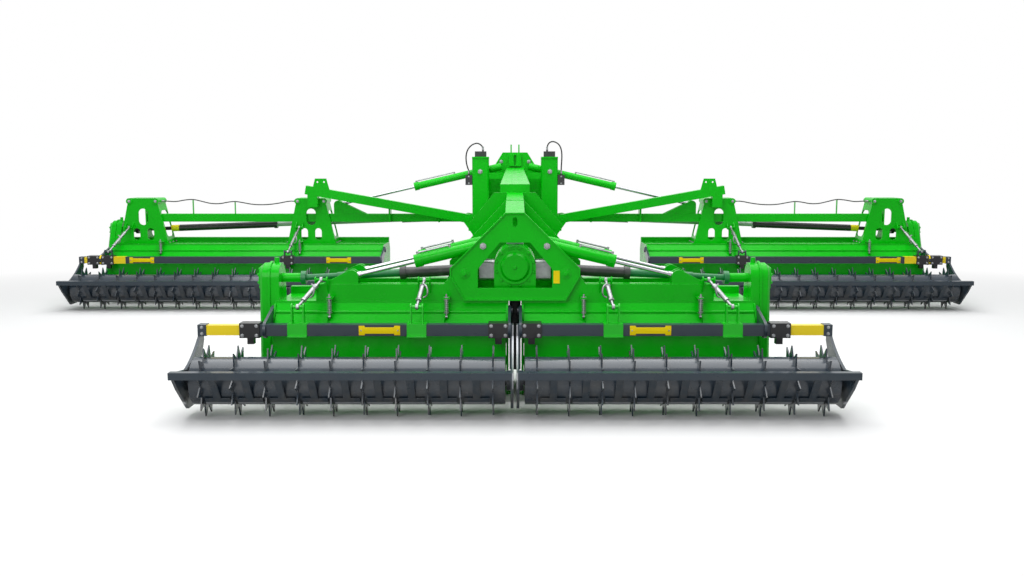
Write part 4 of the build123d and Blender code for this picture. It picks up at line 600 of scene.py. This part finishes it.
for side, way in SIDES:
    for unit, axle_y, clamps, block_x, (rotor_y, input_y), turns, springs, plates in UNITS:
        body = f"{unit}_{side}"
        rails = f"{unit}_roller_frame_{side}"
        case = f"{unit}_drive_case_{side}"
        behind = axle_y + BAR_Y - BEHIND_UNIT
        inwards = (-way, 0, 0)

        # Bolts on the crossbar clamps and end block, and round the roller's end cap
        step_x, step_z = CLAMP_STEPS
        places = [
            seat(rails, (way * (x + dx), behind, BAR_Z + dz), (0, 1, 0), 0.72)
            for x in clamps for dx in (-step_x, step_x) for dz in (-step_z, step_z)
        ]
        places += [
            seat(rails, (way * block_x, behind, BAR_Z + dz), (0, 1, 0), 0.65)
            for dz in (-BLOCK_STEP, BLOCK_STEP)
        ]
        places += [
            seat(rails, (way * OUTSIDE_X, axle_y + dy, AXLE_Z + dz), inwards, 0.55)
            for dy, dz in ring_of(6, CAP_RING)
        ]
        set_out(bolt, f"{unit}_frame_bolts_{side}", body, "bright_steel", places)

        # Painted bolts round the covers of the drive case
        places = [
            seat(case, (way * OUTSIDE_X, y + dy, z + dz), inwards, 0.8)
            for y, z in ((rotor_y, ROTOR_Z), (input_y, INPUT_Z)) for dy, dz in ring_of(8, COVER_RING, pi / 8)
        ]
        set_out(bolt, f"{unit}_case_bolts_{side}", body, "green_paint", places)

        # Springs, and the nuts and hooked levers of the turnbuckles
        places = [((way * x, y, SPRING_LOW), (0, 0, 1), 1) for x, y in springs]
        set_out(spring, f"{unit}_springs_{side}", body, "bright_steel", places)
        places = []
        for k, (low, high) in enumerate(turns):
            low = Vector((way * low[0], *low[1:]))
            high = Vector((way * high[0], *high[1:]))
            run = high - low
            places += [(low + run * share, run, 0.9) for share in NUT_SHARES]
            grip = low + run * GRIP_SHARE
            across = Vector((way, 0, 0))
            up = run.cross(across).normalized() * (-1 if run.cross(across).z < 0 else 1)
            along = run.normalized()
            hook = [grip - across * out + up * rise + along * on for out, rise, on in LEVER]
            bent_rod(f"{unit}_lever_{k + 1}_{side}", body, "bright_steel", hook, LEVER_R)
        set_out(nut, f"{unit}_turn_nuts_{side}", body, "bright_steel", places)

        # Blank yellow plates on the crossbar, with their rivets
        places = [seat(rails, (way * x, behind, BAR_Z), (0, 1, 0)) for x in plates]
        deselect()
        for at, _, _ in places:
            copy = bpy.data.objects.new("bar_plate", bar_plate.data.copy())
            bpy.context.collection.objects.link(copy)
            copy.location = at - Vector((0, PLATE_T / 2, 0))
            copy.select_set(True)
            bpy.context.view_layer.objects.active = copy
        if len(places) > 1:
            bpy.ops.object.join()
        dress(copy, f"{unit}_bar_plates_{side}", body, "yellow_paint")
        rivets = [
            (at + Vector((dx, -PLATE_T, 0)), (0, -1, 0), 0.32)
            for at, _, _ in places for dx in (-RIVET_STEP, RIVET_STEP)
        ]
        set_out(bolt, f"{unit}_plate_rivets_{side}", body, "bright_steel", rivets)

    # Bolts on the rear plates and the feet of the stands
    stands = f"wing_stands_{side}"
    places = [
        seat(stands, (way * (x + dx), 2.9, 1.504), (0, 1, 0), 1.0)
        for x in STANDS for dx in (-STAND_KNOB, STAND_KNOB)
    ]
    places += [
        seat(stands, (way * (x + dx), y, 1.0), (0, 0, -1), 0.8)
        for x in STANDS for dx in (-STAND_FOOT, STAND_FOOT) for y in STAND_ROWS
    ]
    set_out(bolt, f"stand_bolts_{side}", f"wing_{side}", "bright_steel", places)

    # Hose ends on the wing
    first, last = (Vector((way * x, y, z)) for x, y, z in (WING_RUN[0], WING_RUN[-1]))
    places = [(first, (way, 0, 0), 0.85), (last, (-way, 0, 0), 0.85)]
    set_out(ferrule, f"beam_hose_ends_{side}", f"wing_{side}", "bright_steel", places)

    # Oil pipes with a union at each end
    for name, barrel, foot, eye, lift, run in PIPES:
        body = f"{barrel}_{side}"
        foot = Vector((way * foot[0], *foot[1:]))
        eye = Vector((way * eye[0], *eye[1:]))
        along = (eye - foot).normalized()
        up = Vector((0, -way, 0)).cross(along)
        down = up * (lift - PIPE_FOOT)
        start, end = foot + along * run[0] + up * lift, foot + along * run[1] + up * lift
        bend = along * PIPE_BEND
        bent_rod(
            f"{name}_{side}", body, "bright_steel",
            [start - down, start, start + bend, end - bend, end, end - down], PIPE_R,
        )
        unions = [(start - down, up, 0.75), (end - down, up, 0.75)]
        set_out(ferrule, f"{name}_unions_{side}", body, "bright_steel", unions)

set_out(
    ferrule, "post_hose_ends", "frame", "bright_steel",
    [(loop[end], (0, 0, 1), 1) for end in (0, -1) for loop in (RIGHT_LOOP, LEFT_LOOP)],
)

# Pins of the centre frame: cylinder pins on the A-frame, the posts and the mast, and the valve blocks' screws
places = [seat("rear_a_frame", (way * 0.286, BEHIND_FRAME, 1.380), (0, 1, 0), 1.3) for _, way in SIDES]
places += [seat("wing_posts", (way * 0.520, 2.7, 1.955), (0, 1, 0), 1.6) for _, way in SIDES]
places += [seat("headstock", (way * 0.214, 3.3, 2.100), (0, 1, 0), 1.3) for _, way in SIDES]
places += [seat("headstock", (way * 0.214, 4.1, 2.100), (0, -1, 0), 1.3) for _, way in SIDES]
places += [
    seat("valve_blocks", (way * 0.690, 2.8, z), (0, 1, 0), 0.6) for _, way in SIDES for z in (1.78, 1.88)
]
set_out(bolt, "frame_pins", "frame", "bright_steel", places)

# Painted bolts on the gearbox cover, and the hinge pins' heads on the A-frame
places = [
    seat("rear_gearbox", (dx, BEHIND_FRAME, COVER_Z + dz), (0, 1, 0), 0.75)
    for dx, dz in ring_of(12, GEARBOX_RING, pi / 12)
]
places += [seat("rear_gearbox", (0, BEHIND_FRAME, COVER_Z), (0, 1, 0), 0.9)]
places += [seat("rear_a_frame", (way * 0.455, BEHIND_FRAME, 1.130), (0, 1, 0), 1.1) for _, way in SIDES]
set_out(bolt, "gearbox_bolts", "frame", "green_paint", places)

# Blank yellow plate on the A-frame
bpy.ops.mesh.primitive_cube_add(size=1, scale=(0.056, 0.004, 0.115))
small_plate = bpy.context.object
apply_place()
pick(small_plate, lambda at, facing: facing.y < -0.9)
bpy.ops.mesh.inset(thickness=0.006)
bpy.ops.transform.translate(value=(0, 0.001, 0))
face_out()
seat_at, _, _ = seat("rear_a_frame", (0.374, BEHIND_FRAME, 1.10), (0, 1, 0))
small_plate.location = seat_at - Vector((0, 0.002, 0))
dress(small_plate, "frame_plate", "frame", "yellow_paint")

# Painted shade: a dark sheet under the A-frame that closes the gap between the rear units, where there is
# only shade, with a pressed panel and two bolts
bpy.ops.mesh.primitive_cube_add(size=1, scale=(2 * SHADE_SHEET_HALF, SHADE_SHEET_T, SHADE_SHEET_HIGH - SHADE_SHEET_LOW))
shade_sheet = bpy.context.object
apply_place()
pick(shade_sheet, lambda at, facing: facing.y < -0.9)
bpy.ops.mesh.inset(thickness=0.014)
bpy.ops.transform.translate(value=(0, 0.003, 0))
face_out()
shade_sheet.location = (0, SHADE_SHEET_Y, (SHADE_SHEET_LOW + SHADE_SHEET_HIGH) / 2)
dress(shade_sheet, "centre_shade_sheet", "frame", "dark_paint")
places = [((way * 0.027, SHADE_SHEET_Y - SHADE_SHEET_T / 2 + 0.003, 0.845), (0, -1, 0), 0.6) for _, way in SIDES]
set_out(bolt, "shade_sheet_bolts", "frame", "bright_steel", places)

for model in (bolt, nut, ferrule, spring, bar_plate):
    bpy.data.objects.remove(model)


# Floor that keeps the shadow near the machine, fades to white far away and throws little light back
def make_floor():
    deselect()
    bpy.ops.mesh.primitive_plane_add(size=2 * FLOOR_HALF, location=(0, 0, 0))
    floor = bpy.context.object
    floor.name = "floor"
    material, tree, shader, place = start_material("pale_floor")
    tree.links.new(mixed(tree, looked_at(tree), FLOOR_BOUNCE, FLOOR_SEEN), shader.inputs["Base Color"])
    shader.inputs["Roughness"].default_value = 0.9
    squeeze = tree.nodes.new("ShaderNodeMapping")
    squeeze.inputs["Scale"].default_value = (OVAL, 1, 1)
    tree.links.new(place, squeeze.inputs["Vector"])
    distance = tree.nodes.new("ShaderNodeVectorMath")
    distance.operation = "LENGTH"
    tree.links.new(squeeze.outputs["Vector"], distance.inputs[0])
    fade = spread(tree, distance.outputs["Value"], FADE_START, FADE_END, 0, 1)
    white = tree.nodes.new("ShaderNodeEmission")
    white.inputs["Color"].default_value = (1, 1, 1, 1)
    blend = tree.nodes.new("ShaderNodeMixShader")
    tree.links.new(fade, blend.inputs["Fac"])
    tree.links.new(shader.outputs["BSDF"], blend.inputs[1])
    tree.links.new(white.outputs["Emission"], blend.inputs[2])
    tree.links.new(blend.outputs["Shader"], tree.nodes["Material Output"].inputs["Surface"])
    floor.data.materials.append(material)


# Sky: white to the camera and in reflections, softer as a lamp
def make_sky():
    world = bpy.data.worlds.new("studio_sky")
    bpy.context.scene.world = world
    world.use_nodes = True
    tree = world.node_tree
    lamp = tree.nodes["Background"]
    lamp.inputs["Color"].default_value = (0.95, 0.98, 1, 1)
    lamp.inputs["Strength"].default_value = SKY
    backdrop = tree.nodes.new("ShaderNodeBackground")
    backdrop.inputs["Color"].default_value = (1, 1, 1, 1)
    blend = tree.nodes.new("ShaderNodeMixShader")
    tree.links.new(looked_at(tree), blend.inputs["Fac"])
    tree.links.new(lamp.outputs["Background"], blend.inputs[1])
    tree.links.new(backdrop.outputs["Background"], blend.inputs[2])
    tree.links.new(blend.outputs["Shader"], tree.nodes["World Output"].inputs["Surface"])


# Large soft panels overhead and behind the camera
def make_lamps():
    for name, place, turn, size, power in LAMPS:
        bpy.ops.object.light_add(type="AREA", location=place, rotation=turn)
        lamp = bpy.context.object
        lamp.name = name
        lamp.data.size = size
        lamp.data.energy = power


def make_camera():
    pitch = atan((PHOTO_H / 2 - HORIZON_ROW) / FOCAL_PX)
    bpy.ops.object.camera_add(
        location=(0, CAMERA_Y, CAMERA_Z), rotation=(radians(90) - pitch, 0, 0)
    )
    camera = bpy.context.object
    camera.data.sensor_width = 36
    camera.data.lens = FOCAL_PX / PHOTO_W * camera.data.sensor_width
    camera.data.shift_x = (PHOTO_W / 2 - CENTRE_COLUMN) / PHOTO_W
    bpy.context.scene.camera = camera


make_floor()
make_sky()
make_lamps()
make_camera()
bpy.context.scene.view_settings.view_transform = "Standard"
